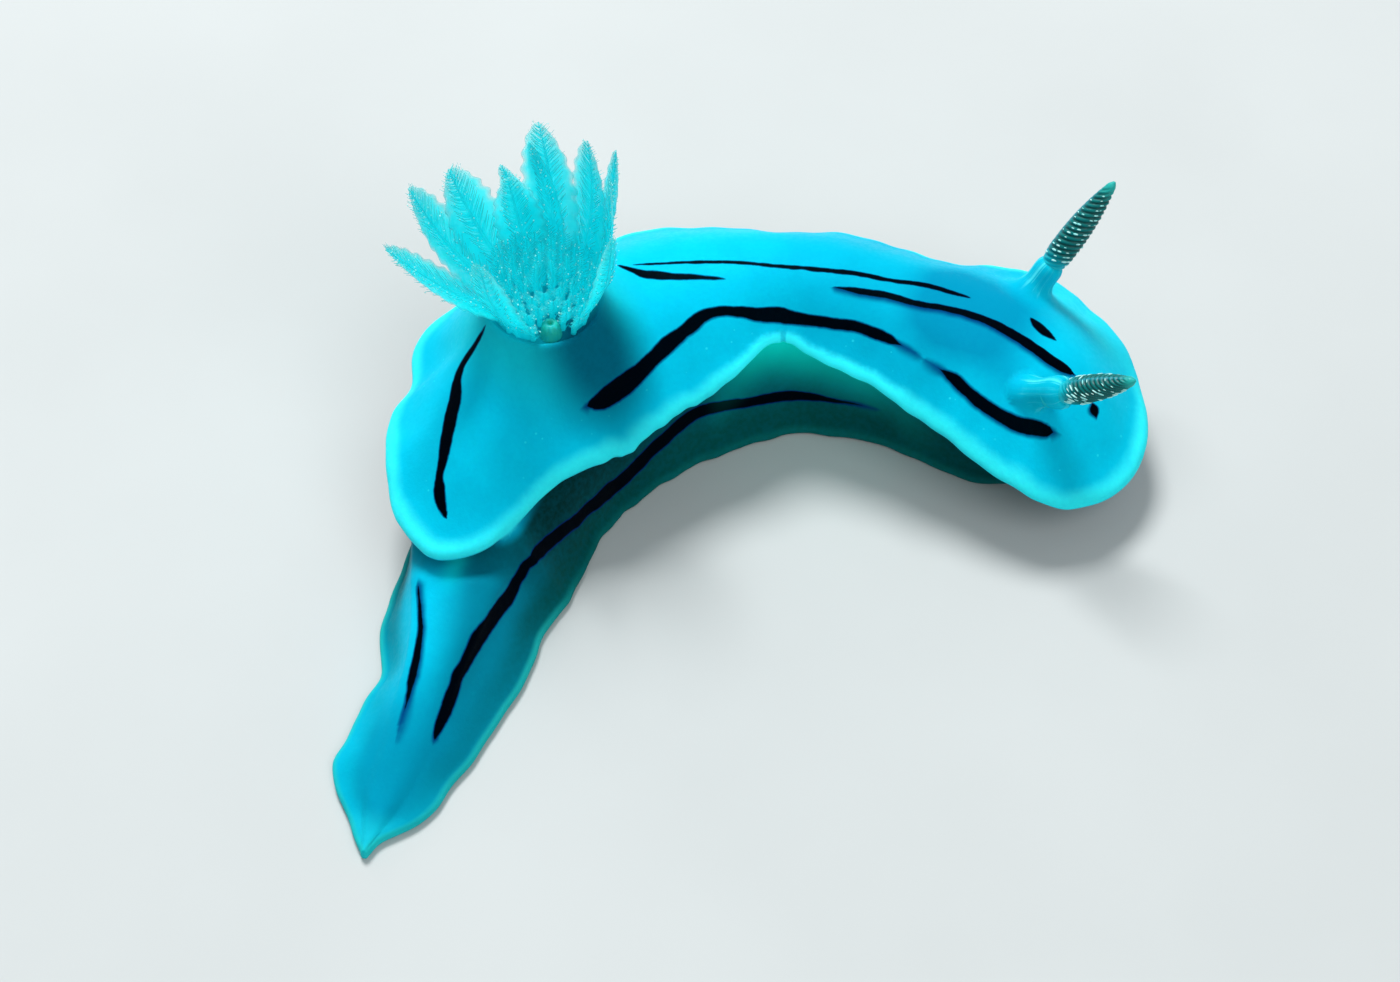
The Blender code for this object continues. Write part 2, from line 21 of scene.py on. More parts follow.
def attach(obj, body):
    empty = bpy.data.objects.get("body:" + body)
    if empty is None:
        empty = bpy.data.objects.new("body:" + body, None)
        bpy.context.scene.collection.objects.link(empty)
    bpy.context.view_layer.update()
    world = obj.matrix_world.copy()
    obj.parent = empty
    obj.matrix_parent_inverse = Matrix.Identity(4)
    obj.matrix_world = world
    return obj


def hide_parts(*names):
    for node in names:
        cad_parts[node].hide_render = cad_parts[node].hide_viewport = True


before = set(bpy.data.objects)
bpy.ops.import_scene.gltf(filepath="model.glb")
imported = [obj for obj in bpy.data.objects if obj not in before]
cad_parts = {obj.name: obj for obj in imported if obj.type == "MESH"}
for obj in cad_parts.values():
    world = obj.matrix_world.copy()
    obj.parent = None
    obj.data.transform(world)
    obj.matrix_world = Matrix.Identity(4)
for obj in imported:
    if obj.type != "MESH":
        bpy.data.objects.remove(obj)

Array = np.ndarray
Row = tuple[float, ...]
Socket = bpy.types.NodeSocket
NodeTree = bpy.types.NodeTree

MM = 0.001
BODY = "root"
LOG = logging.getLogger("nudibranch")


def through(places: Array | float, table: Sequence[Row] | Array) -> Array:
    """Smooth curves through the rows of a table: a cubic between each two rows, with shared slopes.

    Args:
        places: Where the curves are read, in the units of the table's first column.
        table: Rows of a place and the values there, the places rising.

    Returns:
        The values at each place, one column for each value column of the table.
    """
    rows = np.asarray(table, float)
    knots, values = rows[:, 0], rows[:, 1:]
    slopes = np.gradient(values, knots, axis=0)
    inside = np.clip(np.asarray(places, float), knots[0], knots[-1])
    row = np.clip(np.searchsorted(knots, inside, side="right") - 1, 0, len(knots) - 2)
    step = (knots[row + 1] - knots[row])[..., None]
    share = (inside - knots[row])[..., None] / step
    start = values[row] + share * share * (3 - 2 * share) * (values[row + 1] - values[row])
    bend = share * (1 - share) * ((1 - share) * slopes[row] - share * slopes[row + 1])
    return start + step * bend


def ease(values: Array | float, low: float, high: float) -> Array:
    """Rise smoothly from 0 at low to 1 at high: 3t squared less 2t cubed."""
    t = np.clip((np.asarray(values, float) - low) / (high - low), 0, 1)
    return t * t * (3 - 2 * t)


def unit(vectors: Array) -> Array:
    """The same directions, one long."""
    return vectors / np.maximum(np.linalg.norm(vectors, axis=-1, keepdims=True), 1e-9)


def square_to(tangent: Array, vectors: Array) -> Array:
    """The vectors less their part along the tangent, one long."""
    return unit(vectors - tangent * np.sum(vectors * tangent, -1, keepdims=True))


def circle(count: int) -> Array:
    """Angles spread evenly over one turn, in radians."""
    return np.linspace(0, 2 * math.pi, count, endpoint=False)


def run_up(points: Array) -> Array:
    """Length of a flat line up to each of its points."""
    return np.concatenate([[0.0], np.cumsum(np.hypot(*np.diff(points, axis=0).T))])


def columns(places: Array, table: Sequence[Row]) -> Array:
    """The curves through a table's rows, each column of values as its own array."""
    return np.moveaxis(through(places, table), -1, 0)


def write_marks(mesh: bpy.types.Mesh, marks: dict[str, Array]) -> None:
    """Write each mark as a point attribute of a mesh."""
    for name, values in marks.items():
        attribute = mesh.attributes.new(name, "FLOAT", "POINT")
        attribute.data.foreach_set("value", values.astype(np.float32))


def new_object(name: str, mesh: bpy.types.Mesh) -> bpy.types.Object:
    """An object of a mesh, at the origin, in the scene."""
    made = bpy.data.objects.new(name, mesh)
    bpy.context.scene.collection.objects.link(made)
    return made


@dataclass
class Shell:
    """A closed surface: its points in millimetres, its faces, and values carried by its points.

    Attributes:
        points: One row of x, y and z for each point.
        faces: Arrays of point numbers, four or three to a face.
        marks: Named values, one for each point.
    """

    points: Array
    faces: list[Array]
    marks: dict[str, Array] = field(default_factory=dict)

    @staticmethod
    def joined(shells: Sequence["Shell"]) -> "Shell":
        """One shell that holds several side by side.

        Args:
            shells: The shells, all with the same marks.

        Returns:
            The shell of all their points and faces.
        """
        starts = np.concatenate([[0], np.cumsum([len(shell.points) for shell in shells])])
        faces = [part + start for shell, start in zip(shells, starts) for part in shell.faces]
        marks = {name: np.concatenate([shell.marks[name] for shell in shells]) for name in shells[0].marks}
        return Shell(np.concatenate([shell.points for shell in shells]), faces, marks)

    def mesh(self, name: str) -> bpy.types.Mesh:
        """The shell as a smooth mesh in metres, with each mark as a point attribute.

        Args:
            name: The mesh's name.

        Returns:
            The mesh.
        """
        sizes = np.concatenate([np.full(len(part), part.shape[1]) for part in self.faces])
        corners = np.concatenate([part.ravel() for part in self.faces])
        made = bpy.data.meshes.new(name)
        made.vertices.add(len(self.points))
        made.vertices.foreach_set("co", (self.points * MM).astype(np.float32).ravel())
        made.loops.add(len(corners))
        made.loops.foreach_set("vertex_index", corners.astype(np.int32))
        made.polygons.add(len(sizes))
        made.polygons.foreach_set("loop_start", np.concatenate([[0], np.cumsum(sizes)[:-1]]).astype(np.int32))
        made.update(calc_edges=True)
        made.validate()
        write_marks(made, self.marks)
        made.shade_smooth()
        return made

    def piece(self, name: str) -> bpy.types.Object:
        """The shell's mesh as a new object."""
        return new_object(name, self.mesh(name))


def tube_shells(rings: Array, marks: dict[str, Array] | None = None) -> Shell:
    """Closed tubes, each of rings joined one to the next, with a fan over each end.

    Args:
        rings: Points of shape (tubes, rings, sides, 3), going round so that the faces point outwards.
        marks: Named values of shape (tubes, rings, sides).

    Returns:
        One shell that holds all the tubes.
    """
    tubes, count, sides, _ = rings.shape
    numbers = np.arange(tubes * count * sides).reshape(tubes, count, sides)
    around = np.roll(numbers, -1, axis=2)
    quads = np.stack([numbers[:, :-1], around[:, :-1], around[:, 1:], numbers[:, 1:]], -1).reshape(-1, 4)
    first = tubes * count * sides + np.arange(tubes)[:, None].repeat(sides, 1)
    last = first + tubes
    fans = [
        np.stack([around[:, 0], numbers[:, 0], first], -1).reshape(-1, 3),
        np.stack([numbers[:, -1], around[:, -1], last], -1).reshape(-1, 3),
    ]
    points = np.concatenate([rings.reshape(-1, 3), rings[:, 0].mean(1), rings[:, -1].mean(1)])
    carried = {
        name: np.concatenate([values.ravel(), values[:, 0].mean(1), values[:, -1].mean(1)])
        for name, values in (marks or {}).items()
    }
    return Shell(points, [quads, *fans], carried)


def carried_rings(path: Array, sideways: Array, wide: Array, thick: Array, sides: int) -> Array:
    """Ellipses carried along paths: centre + wide cos a sideways + thick sin a (tangent x sideways).

    Args:
        path: Centres, of shape (tubes, rings, 3).
        sideways: The way each ellipse's first axis points, of the same shape.
        wide: Half width along the first axis, of shape (tubes, rings).
        thick: Half width along the second axis, of the same shape.
        sides: Points on each ellipse.

    Returns:
        Rings of shape (tubes, rings, sides, 3).
    """
    tangent = unit(np.gradient(path, axis=1))
    first = square_to(tangent, sideways)
    second = np.cross(tangent, first)
    turn = circle(sides)
    cosine, sine = np.cos(turn)[None, None, :, None], np.sin(turn)[None, None, :, None]
    return (
        path[:, :, None]
        + wide[:, :, None, None] * cosine * first[:, :, None]
        + thick[:, :, None, None] * sine * second[:, :, None]
    )


@dataclass(frozen=True)
class Midline:
    """The line on the floor that the whole animal is bent along, from tail tip to mantle front."""

    corners: tuple[Row, ...] = (
        (-9.7, -21.8), (-8.0, -15.2), (-6.8, -8.6), (-4.5, -3.4), (0.0, 0.0), (5.4, 1.0), (10.8, -0.4),
        (15.4, -2.4), (20.4, -4.25),
    )
    samples: int = 1500
    reach: float = 0.3

    @cached_property
    def points(self) -> Array:
        """Points close together on the line."""
        corners = np.asarray(self.corners)
        chords = run_up(corners)
        return through(np.linspace(0, chords[-1], self.samples), np.column_stack([chords, corners]))

    @cached_property
    def lengths(self) -> Array:
        """Length of the line up to each of its points."""
        return run_up(self.points)

    def at(self, along: Array) -> Array:
        """The line's point at a length from the tail tip."""
        return np.stack([np.interp(along, self.lengths, self.points[:, i]) for i in (0, 1)], -1)

    def forward(self, along: Array) -> Array:
        """The way the line runs at a length from the tail tip."""
        inside = np.clip(along, self.reach, self.lengths[-1] - self.reach)
        return unit(self.at(inside + self.reach) - self.at(inside - self.reach))

    def place(self, along: Array | float, across: Array | float, height: Array | float) -> Array:
        """World points of places on the animal: line + across times its left normal, at the height.

        Args:
            along: Length from the tail tip; past either end the line runs straight on.
            across: Distance to the animal's left.
            height: Height above the floor.

        Returns:
            One x, y and z for each place.
        """
        along, across, height = np.broadcast_arrays(np.asarray(along, float), across, height)
        forward = self.forward(along)
        left = np.stack([-forward[..., 1], forward[..., 0]], -1)
        inside = np.clip(along, 0, self.lengths[-1])
        flat = self.at(inside) + left * across[..., None] + forward * (along - inside)[..., None]
        return np.concatenate([flat, height[..., None]], -1)

    def locate(self, points: Array) -> tuple[Array, Array]:
        """Along and across of world points: the nearest sample of the line, then three Newton steps.

        Args:
            points: World points, x and y first.

        Returns:
            Along and across of each point.
        """
        coarse = self.points[::5]
        nearest = np.concatenate([
            np.argmin(((part[:, None, :2] - coarse[None]) ** 2).sum(-1), 1)
            for part in np.array_split(points, max(1, len(points) // 4000))
        ])
        along = self.lengths[::5][nearest]
        for _ in range(3):
            along = along + np.sum((points[:, :2] - self.at(along)) * self.forward(along), -1)
        forward = self.forward(along)
        off = points[:, :2] - self.at(along)
        return along, forward[:, 0] * off[:, 1] - forward[:, 1] * off[:, 0]


@dataclass(frozen=True)
class Collar:
    """The raised ring round the gill pocket, a smooth step up and then down into the pocket."""

    along: float = 20.8
    across: float = 0.1
    top: float = 8.1
    rim_radius: float = 2.3
    foot_radius: float = 4.45
    flare: float = 2.3
    pocket_radius: float = 2.2
    pocket_depth: float = 0.35
    lip: float = 0.3

    def raise_on(self, points: Array, centre: Array) -> Array:
        """Lift points of the mantle's top to the collar, by (1 - share of the way out)^flare of the step.

        Args:
            points: Points of the top.
            centre: The collar's middle.

        Returns:
            The lifted points, with the pocket sunk in the collar's top.
        """
        away = np.hypot(points[:, 0] - centre[0], points[:, 1] - centre[1])
        out = np.clip((away - self.rim_radius) / (self.foot_radius - self.rim_radius), 0, 1)
        rounded = 0.16 * ease(away, self.pocket_radius - 0.1, self.rim_radius + 0.25)
        hollow = self.pocket_depth * ease(-away, -self.pocket_radius, -self.pocket_radius + self.lip)
        lifted = points.copy()
        lifted[:, 2] += (1 - out) ** self.flare * (self.top - rounded - points[:, 2]) - hollow
        return lifted


@dataclass(frozen=True)
class Sheath:
    """The sleeve that a rhinophore stands in, drawn out of the mantle along the rhinophore's axis."""

    along: float
    across: float
    way: Row
    length: float
    foot_radius: float
    top_radius: float = 0.5
    spread: float = 0.75
    pocket: float = 0.04

    @property
    def axis(self) -> Array:
        """The way the sheath points."""
        return unit(np.asarray(self.way, float))

    def draw_out(self, points: Array, foot: Array) -> Array:
        """Carry the points round the foot up the sleeve.

        The distance of a point from the axis becomes a length along the sleeve's profile: over its flat
        top, down its straight side and out over its rounded foot, so that the points stay evenly spread.

        Args:
            points: Points of the mantle's top.
            foot: Where the axis leaves the mantle.

        Returns:
            The points, with those within reach of the sleeve moved onto it.
        """
        reach = self.foot_radius + self.spread
        profile = np.array([
            (0.0, self.length - self.pocket),
            (self.top_radius * 0.72, self.length - self.pocket),
            (self.top_radius * 0.86, self.length),
            (self.top_radius, self.length - 0.06),
            (self.top_radius + 0.62 * (self.foot_radius - self.top_radius), 0.3 * self.length),
            (self.foot_radius + 0.08, 0.1 * self.length),
            (self.foot_radius + 0.35 * self.spread, 0.02 * self.length),
            (reach, 0.0),
        ])
        lengths = run_up(profile)
        off = points - foot
        rise = off @ self.axis
        flat = off - rise[:, None] * self.axis
        away = np.linalg.norm(flat, axis=1)
        near = (away < reach) & (np.abs(rise) < 2.5)
        where = away[near] / reach * lengths[-1]
        radius, height = through(where, np.column_stack([lengths, profile])).T
        moved = points.copy()
        kept = rise[near] * (1 - np.clip(height / self.length, 0, 1))
        moved[near] = foot + (kept + height)[:, None] * self.axis + radius[:, None] * unit(flat[near])
        return moved


@dataclass(frozen=True)
class Mantle:
    """The mantle: a dome that flattens into a soft skirt, its rim rounded off all the way round.

    Attributes:
        rows: Along, reach to the left, reach to the right, height of the left margin, height of the
            right margin, height of the crest. The right margin rises in a fold inside the bend.
        rear_round: Length and power of the rounding of the rear end, and where that end lies across.
        front_round: The same of the front end.
        ripples: Waves of the margin's reach and height, as length, reach, height and phase.
        notch: Along, depth and half width of the small nick at the top of the fold.
    """

    midline: Midline
    collar: Collar
    sheaths: tuple[Sheath, ...]
    rows: tuple[Row, ...] = (
        (11.0, 4.60, 6.00, 3.6, 3.6, 3.8), (13.1, 4.62, 4.50, 3.7, 3.7, 5.0),
        (15.0, 4.55, 4.10, 3.9, 3.8, 5.9), (16.4, 4.55, 4.48, 4.0, 3.9, 6.4),
        (17.6, 4.08, 5.00, 4.2, 4.05, 6.8), (18.6, 4.80, 5.12, 4.3, 4.1, 7.0),
        (20.7, 4.45, 5.14, 4.5, 4.2, 7.2), (24.2, 4.20, 5.02, 4.6, 4.4, 7.1),
        (26.2, 4.05, 4.72, 4.6, 4.6, 7.0), (27.6, 3.90, 4.44, 4.6, 4.85, 7.0),
        (28.7, 3.75, 3.97, 4.6, 5.05, 7.0), (30.0, 3.56, 3.18, 4.6, 5.25, 7.0),
        (31.3, 3.50, 2.87, 4.6, 5.3, 7.0), (32.9, 3.60, 3.24, 4.6, 5.1, 6.9),
        (35.2, 3.74, 3.52, 4.35, 4.7, 6.65), (36.4, 4.02, 3.92, 4.15, 4.45, 6.5),
        (37.8, 4.60, 4.04, 3.9, 4.2, 6.3), (39.6, 5.00, 4.42, 3.7, 3.9, 6.0),
        (42.0, 4.80, 4.93, 3.1, 2.9, 5.3), (43.7, 4.15, 4.92, 2.7, 2.3, 4.4),
        (45.9, 2.60, 4.60, 2.1, 2.0, 2.5),
    )
    rear_round: Row = (9.5, 1.7, 0.0)
    front_round: Row = (3.8, 2.2, -0.9)
    thickness: float = 0.55
    edge_share: float = 0.1
    dome: Row = (2.5, 1.7)
    height_wave: Row = (0.12, 6.3)
    ripples: tuple[Row, ...] = ((2.9, 0.02, 0.04, 0.4), (1.3, 0.012, 0.02, 2.1))
    notch: Row = (30.95, 0.06, 0.12)
    crest_inset: Row = (3.2, 2.6)
    steps_along: int = 330
    steps_in: int = 52
    steps_round: int = 7
    steps_under: int = 18

    @property
    def start(self) -> float:
        """Where the mantle begins along the midline."""
        return self.rows[0][0]

    @property
    def end(self) -> float:
        """Where the mantle ends along the midline."""
        return self.rows[-1][0]

    def _rounding(self, length: float, power: float, from_end: Array) -> Array:
        """Share of the full reach at a distance from a rounded end: a superellipse."""
        left_over = 1 - np.clip(from_end / length, 0, 1)
        return (1 - left_over**power) ** (1 / power)

    def reach(self, along: Array) -> tuple[Array, Array, Array, Array, Array]:
        """Across of the left and right margins, and the heights of both margins and of the crest.

        Args:
            along: Lengths from the tail tip.

        Returns:
            Across of left and right margin; heights of left margin, right margin and crest.
        """
        left, right, left_height, right_height, crest = columns(along, self.rows)
        rear = self._rounding(self.rear_round[0], self.rear_round[1], along - self.start)
        front = self._rounding(self.front_round[0], self.front_round[1], self.end - along)
        middle = np.where(along > 30, self.front_round[2], self.rear_round[2])
        share = rear * front
        lift = self.height_wave[0] * np.sin(2 * math.pi * along / self.height_wave[1]) * share
        left, right = left - middle, right + middle
        for length, reach, height, phase in self.ripples:
            turn = 2 * math.pi * along / length + phase
            left = left + reach * np.sin(turn)
            right = right + reach * np.sin(turn + 2)
            lift = lift + height * np.sin(turn + 1) * share
        return middle + share * left, middle - share * right, left_height + lift, right_height - lift, crest

    def crest_across(self, along: Array) -> Array:
        """Across of the crest: the midline, kept within the middle part of the mantle."""
        left, right, *_ = self.reach(along)
        middle = 0.5 * (left + right)
        return np.clip(0.0, middle - 0.2 * (left - right), middle + 0.2 * (left - right))

    def base(self, along: Array, across: Array) -> Array:
        """Height of the sheet that runs from the left margin to the right one."""
        left, right, left_height, right_height, _ = self.reach(along)
        share = ease((across - right) / np.maximum(left - right, 0.01), 0, 1)
        return right_height + (left_height - right_height) * share

    def share(self, along: Array, across: Array) -> Array:
        """How far a place is from the crest, 0, to the margin, 1."""
        left, right, *_ = self.reach(along)
        crest = self.crest_across(along)
        width = np.where(across > crest, left - crest, crest - right)
        return np.clip(np.abs(across - crest) / np.maximum(width, 0.01), 0, 1)

    def half_thickness(self, share: Array) -> Array:
        """Half the skirt's thickness: full inside, a quarter circle at the rim."""
        past = np.clip((share - 1 + self.edge_share) / self.edge_share, 0, 1)
        return 0.5 * self.thickness * np.sqrt(1 - past**2)

    def top(self, along: Array, across: Array, share: Array | None = None) -> Array:
        """Height of the upper face: sheet + half thickness + (crest - sheet)(1 - share^a)^b."""
        share = self.share(along, across) if share is None else share
        base = self.base(along, across)
        rise = np.maximum(self.reach(along)[4] - base - 0.5 * self.thickness, 0)
        return base + self.half_thickness(share) + rise * (1 - share ** self.dome[0]) ** self.dome[1]

    def under(self, along: Array, across: Array, share: Array | None = None) -> Array:
        """Height of the lower face: sheet less half thickness."""
        share = self.share(along, across) if share is None else share
        return self.base(along, across) - self.half_thickness(share)

    @cached_property
    def stations(self) -> Array:
        """Where the rings' points lie along: evenly spread over the outline, closer by the sheaths."""
        fine = self.start + (self.end - self.start) * 0.5 * (1 - np.cos(np.linspace(0, math.pi, 6000)))
        left, right, *_ = self.reach(fine)
        step = np.hypot(np.diff(fine), np.maximum(np.abs(np.diff(left)), np.abs(np.diff(right))))
        middle = 0.5 * (fine[1:] + fine[:-1])
        closer = 1 + sum(1.4 * np.exp(-(((middle - sheath.along) / 1.6) ** 2)) for sheath in self.sheaths)
        closer = closer + 6 * np.exp(-(((middle - self.notch[0]) / 0.3) ** 2))
        passed = np.concatenate([[0], np.cumsum(step * closer)])
        return np.interp(np.linspace(0, passed[-1], self.steps_along + 1), passed, fine)

    def ring(self, share: Array) -> tuple[Array, Array]:
        """Places of rings: crest point + share times the way from there to the outline.

        Args:
            share: One value for each ring: 0 on the crest, 1 on the outline.

        Returns:
            Along and across of the rings' points, up the left side and back down the right one.
        """
        share = np.atleast_1d(share)[:, None]
        outline = self.stations
        whole = (outline - self.start) / (self.end - self.start)
        inner = self.start + self.crest_inset[0]
        crest = inner + (self.end - self.crest_inset[1] - inner) * whole
        left, right, *_ = self.reach(outline)
        crest_across = self.crest_across(crest)
        along = crest + (outline - crest) * share
        up = crest_across + (left - crest_across) * share
        nick = self.notch[1] * np.exp(-(((outline - self.notch[0]) / self.notch[2]) ** 2))
        down = crest_across + (right - crest_across) * share + nick * ease(share, 0.88, 1)
        return np.hstack([along, along[:, -2:0:-1]]), np.hstack([up, down[:, -2:0:-1]])

    def outline(self) -> Array:
        """World points of the margin, all the way round."""
        along, across = self.ring(1.0)
        return self.midline.place(along[0], across[0], self.base(along[0], across[0]))

    def shell(self) -> Shell:
        """The whole mantle as rings from the crest out to the rim and back below to the crest.

        Returns:
            The closed shell, with the collar and both sheaths raised on it.
        """
        full = 1 - self.edge_share
        inner = np.linspace(0, full, self.steps_in)
        rounding = full + self.edge_share * np.sin(np.linspace(0, math.pi / 2, self.steps_round + 1))
        over = np.concatenate([inner[:-1], rounding])
        beneath = np.concatenate([rounding[-2::-1], np.linspace(full, 0, self.steps_under)[1:]])
        along, across = self.ring(over)
        upper = self.midline.place(along, across, self.top(along, across, over[:, None])).reshape(-1, 3)
        upper = self.collar.raise_on(upper, self.midline.place(self.collar.along, self.collar.across, 0.0))
        for sheath in self.sheaths:
            upper = sheath.draw_out(upper, self.sheath_foot(sheath))
        along, across = self.ring(beneath)
        lower = self.midline.place(along, across, self.under(along, across, beneath[:, None])).reshape(-1, 3)
        points = np.concatenate([upper, lower])
        numbers = np.arange(len(points)).reshape(len(over) + len(beneath), -1)
        fold = self.steps_along
        for row in (0, -1):
            numbers[row, fold + 1:] = numbers[row, fold - 1:0:-1]
        around = np.roll(numbers, -1, axis=1)
        quads = np.stack([numbers[:-1], around[:-1], around[1:], numbers[1:]], -1).reshape(-1, 4)
        used, renamed = np.unique(quads, return_inverse=True)
        return Shell(points[used], [renamed.reshape(-1, 4)])

    def sheath_foot(self, sheath: Sheath) -> Array:
        """Where a sheath's axis leaves the mantle."""
        along, across = np.array(sheath.along), np.array(sheath.across)
        return self.midline.place(along, across, self.top(along, across))


@dataclass(frozen=True)
class Body:
    """The tail, foot and flanks: one closed surface under the mantle, flat on the floor.

    Attributes:
        foot: Along, reach of the foot to the left and to the right.
        flank: Along, across of the left and the right shoulder, and how the left and the right wall run
            from the foot to the shoulder: over 1 they are hollow, under 1 they bulge.
        ridge: Along and height of the tail's ridge, which runs in under the mantle.
        ripples: Waves of the foot's edge, as length, reach and phase.
        edge_most: The widest the foot's edge may be, as a share of the foot's reach.
        tail_part: Length of the tail's end where sections stand closer; tail_steps, how many.
    """

    midline: Midline
    mantle: Mantle
    foot: tuple[Row, ...] = (
        (0.0, 0.15, 0.15), (0.6, 0.60, 0.45), (1.1, 0.95, 0.98), (1.6, 1.35, 1.44), (2.3, 1.90, 1.85),
        (3.3, 2.30, 2.10), (4.3, 2.26, 2.50), (6.0, 2.10, 2.88), (7.6, 1.80, 3.44), (9.3, 2.12, 3.80),
        (11.0, 2.20, 4.12), (12.8, 2.02, 4.62), (15.0, 2.40, 4.70), (20.0, 3.40, 4.90), (24.5, 3.70, 4.60),
        (28.5, 3.60, 4.00), (32.0, 3.40, 3.15), (36.0, 3.30, 2.75), (39.0, 3.40, 3.05), (40.6, 3.05, 2.85),
        (41.6, 2.30, 2.30), (42.2, 1.70, 1.80),
    )
    flank: tuple[Row, ...] = (
        (0.0, 0.04, -0.04, 0.7, 0.7), (2.0, 0.70, -0.70, 0.75, 0.75), (4.5, 0.70, -1.20, 1.0, 1.0),
        (7.3, 0.62, -1.50, 1.2, 1.4), (9.2, 0.75, -1.95, 1.2, 1.45), (11.5, 1.20, -2.40, 1.15, 1.1),
        (14.9, 1.90, -2.60, 1.2, 0.65), (18.2, 2.70, -3.10, 1.0, 0.5), (22.0, 3.00, -3.40, 1.0, 1.0),
        (26.0, 2.90, -3.00, 1.0, 1.6), (29.0, 2.60, -2.50, 1.0, 1.5), (32.0, 2.50, -2.20, 1.0, 1.5),
        (36.0, 2.50, -1.95, 1.0, 1.2), (39.0, 2.50, -2.20, 1.2, 1.2), (42.2, 1.60, -1.70, 1.2, 1.2),
    )
    ridge: tuple[Row, ...] = (
        (0.0, 0.52), (1.0, 0.62), (2.5, 0.92), (4.5, 1.50), (8.0, 2.45), (10.5, 2.90), (12.5, 3.60),
        (14.0, 9.0),
    )
    ripples: tuple[Row, ...] = ((3.1, 0.04, 0.9), (1.6, 0.015, 0.2))
    foot_edge_height: float = 0.24
    foot_top_height: float = 0.46
    foot_edge_width: float = 0.3
    edge_most: float = 0.5
    shoulder_drop: float = 0.35
    shoulder_inset: float = 0.45
    sunk: float = 0.3
    front: float = 41.6
    front_length: float = 0.6
    tail_length: float = 0.12
    tail_part: float = 6.0
    tail_steps: int = 60
    steps_along: int = 300
    steps_round: int = 110

    def edges(self, along: Array) -> tuple[Array, Array]:
        """Across of the foot's left and right edges, with their ripples."""
        left, right = columns(along, self.foot)
        for length, reach, phase in self.ripples:
            turn = 2 * math.pi * along / length + phase
            left = left + reach * np.sin(turn) * np.minimum(1, left)
            right = right + reach * np.sin(turn + 1.7) * np.minimum(1, right)
        return left, -right

    def top(self, along: Array, across: Array) -> Array:
        """Height of the body's top: the tail's ridge, or a little way into the mantle."""
        ridge = through(along, self.ridge)[..., 0]
        inside = np.maximum(along, self.mantle.start + 0.6)
        return np.minimum(ridge, self.mantle.under(inside, across) + self.sunk)

    def wall(self, along: Array, side: int, share: Array) -> tuple[Array, Array]:
        """Across and height up one wall: shoulder + (foot - shoulder)(1 - share)^power.

        Args:
            along: Lengths from the tail tip.
            side: 1 for the left wall, -1 for the right one.
            share: 0 at the foot's top, 1 at the shoulder.

        Returns:
            Across and height of the points.
        """
        left, right, left_power, right_power = columns(along, self.flank)
        shoulder, power = (left, left_power) if side > 0 else (right, right_power)
        foot = self.edges(along)[0 if side > 0 else 1]
        foot = foot - side * np.minimum(self.foot_edge_width, self.edge_most * np.abs(foot))
        narrow = np.minimum(1.0, 0.5 * (left - right))
        high = np.maximum(self.top(along, shoulder) - self.shoulder_drop * narrow, self.foot_top_height)
        across = shoulder + (foot - shoulder) * (1 - share) ** power
        return across, self.foot_top_height + (high - self.foot_top_height) * share

    def corners(self, along: Array) -> Array:
        """Corners of each section: up the right side, over the top, down the left and along the sole.

        Args:
            along: Lengths from the tail tip, one for each section.

        Returns:
            Across and height of the corners, of shape (sections, corners, 2).
        """
        left, right, *_ = columns(along, self.flank)
        narrow = np.minimum(1.0, 0.5 * (left - right))
        inset = self.shoulder_inset * narrow
        foot_left, foot_right = self.edges(along)
        middle = 0.5 * (left + right)
        shares = (0.0, 0.1, 0.25, 0.42, 0.6, 0.78, 0.92, 1.0)
        sides = {}
        for side, foot in ((1, foot_left), (-1, foot_right)):
            edge = np.minimum(self.foot_edge_width, self.edge_most * np.abs(foot))
            low = [
                (foot - side * 1.6 * edge, np.zeros_like(foot)),
                (foot - side * 0.9 * edge, np.zeros_like(foot)),
                (foot - side * 0.3 * edge, np.full_like(foot, 0.03)),
                (foot, np.full_like(foot, self.foot_edge_height * 0.7)),
                (foot, np.full_like(foot, self.foot_edge_height * 1.1)),
                (foot - side * 0.3 * edge, np.full_like(foot, self.foot_top_height * 0.9)),
            ]
            sides[side] = low + [self.wall(along, side, np.full_like(along, share)) for share in shares]
        over = [(across, self.top(along, across)) for across in (right + inset, middle, left - inset)]
        sole = [(foot_left * 0.35 + 0.65 * middle, np.zeros_like(middle)), (middle, np.zeros_like(middle))]
        sole.append((foot_right * 0.35 + 0.65 * middle, np.zeros_like(middle)))
        ring = sides[-1] + over + sides[1][::-1] + sole
        return np.stack([np.stack(corner, -1) for corner in ring], 1)

    def shell(self) -> Shell:
        """Sections that are B-splines of their corners, carried along the midline, with rounded ends.

        Returns:
            The closed shell.
        """
        tail = np.linspace(0, 1, self.tail_steps) ** 1.6 * self.tail_part
        rest = np.linspace(self.tail_part, self.front, self.steps_along - self.tail_steps)
        along = np.concatenate([tail[:-1], rest])
        corners = self.corners(along)
        turn = np.linspace(0, math.pi / 2, 12)[1:]
        closing = []
        for end in (corners[0], corners[-1]):
            middle = end.mean(0) * [1.0, 0.35]
            closing.append(middle + (end - middle) * np.cos(turn)[:, None, None] ** 0.8)
        corners = np.concatenate([closing[0][::-1], corners, closing[1]])
        back, front = (length * np.sin(turn) for length in (self.tail_length, self.front_length))
        along = np.concatenate([-back[::-1], along, self.front + front])
        sections = closed_spline(corners, self.steps_round)
        rings = self.midline.place(along[:, None], sections[..., 0], np.maximum(sections[..., 1], 0))
        return tube_shells(rings[None, :, ::-1])


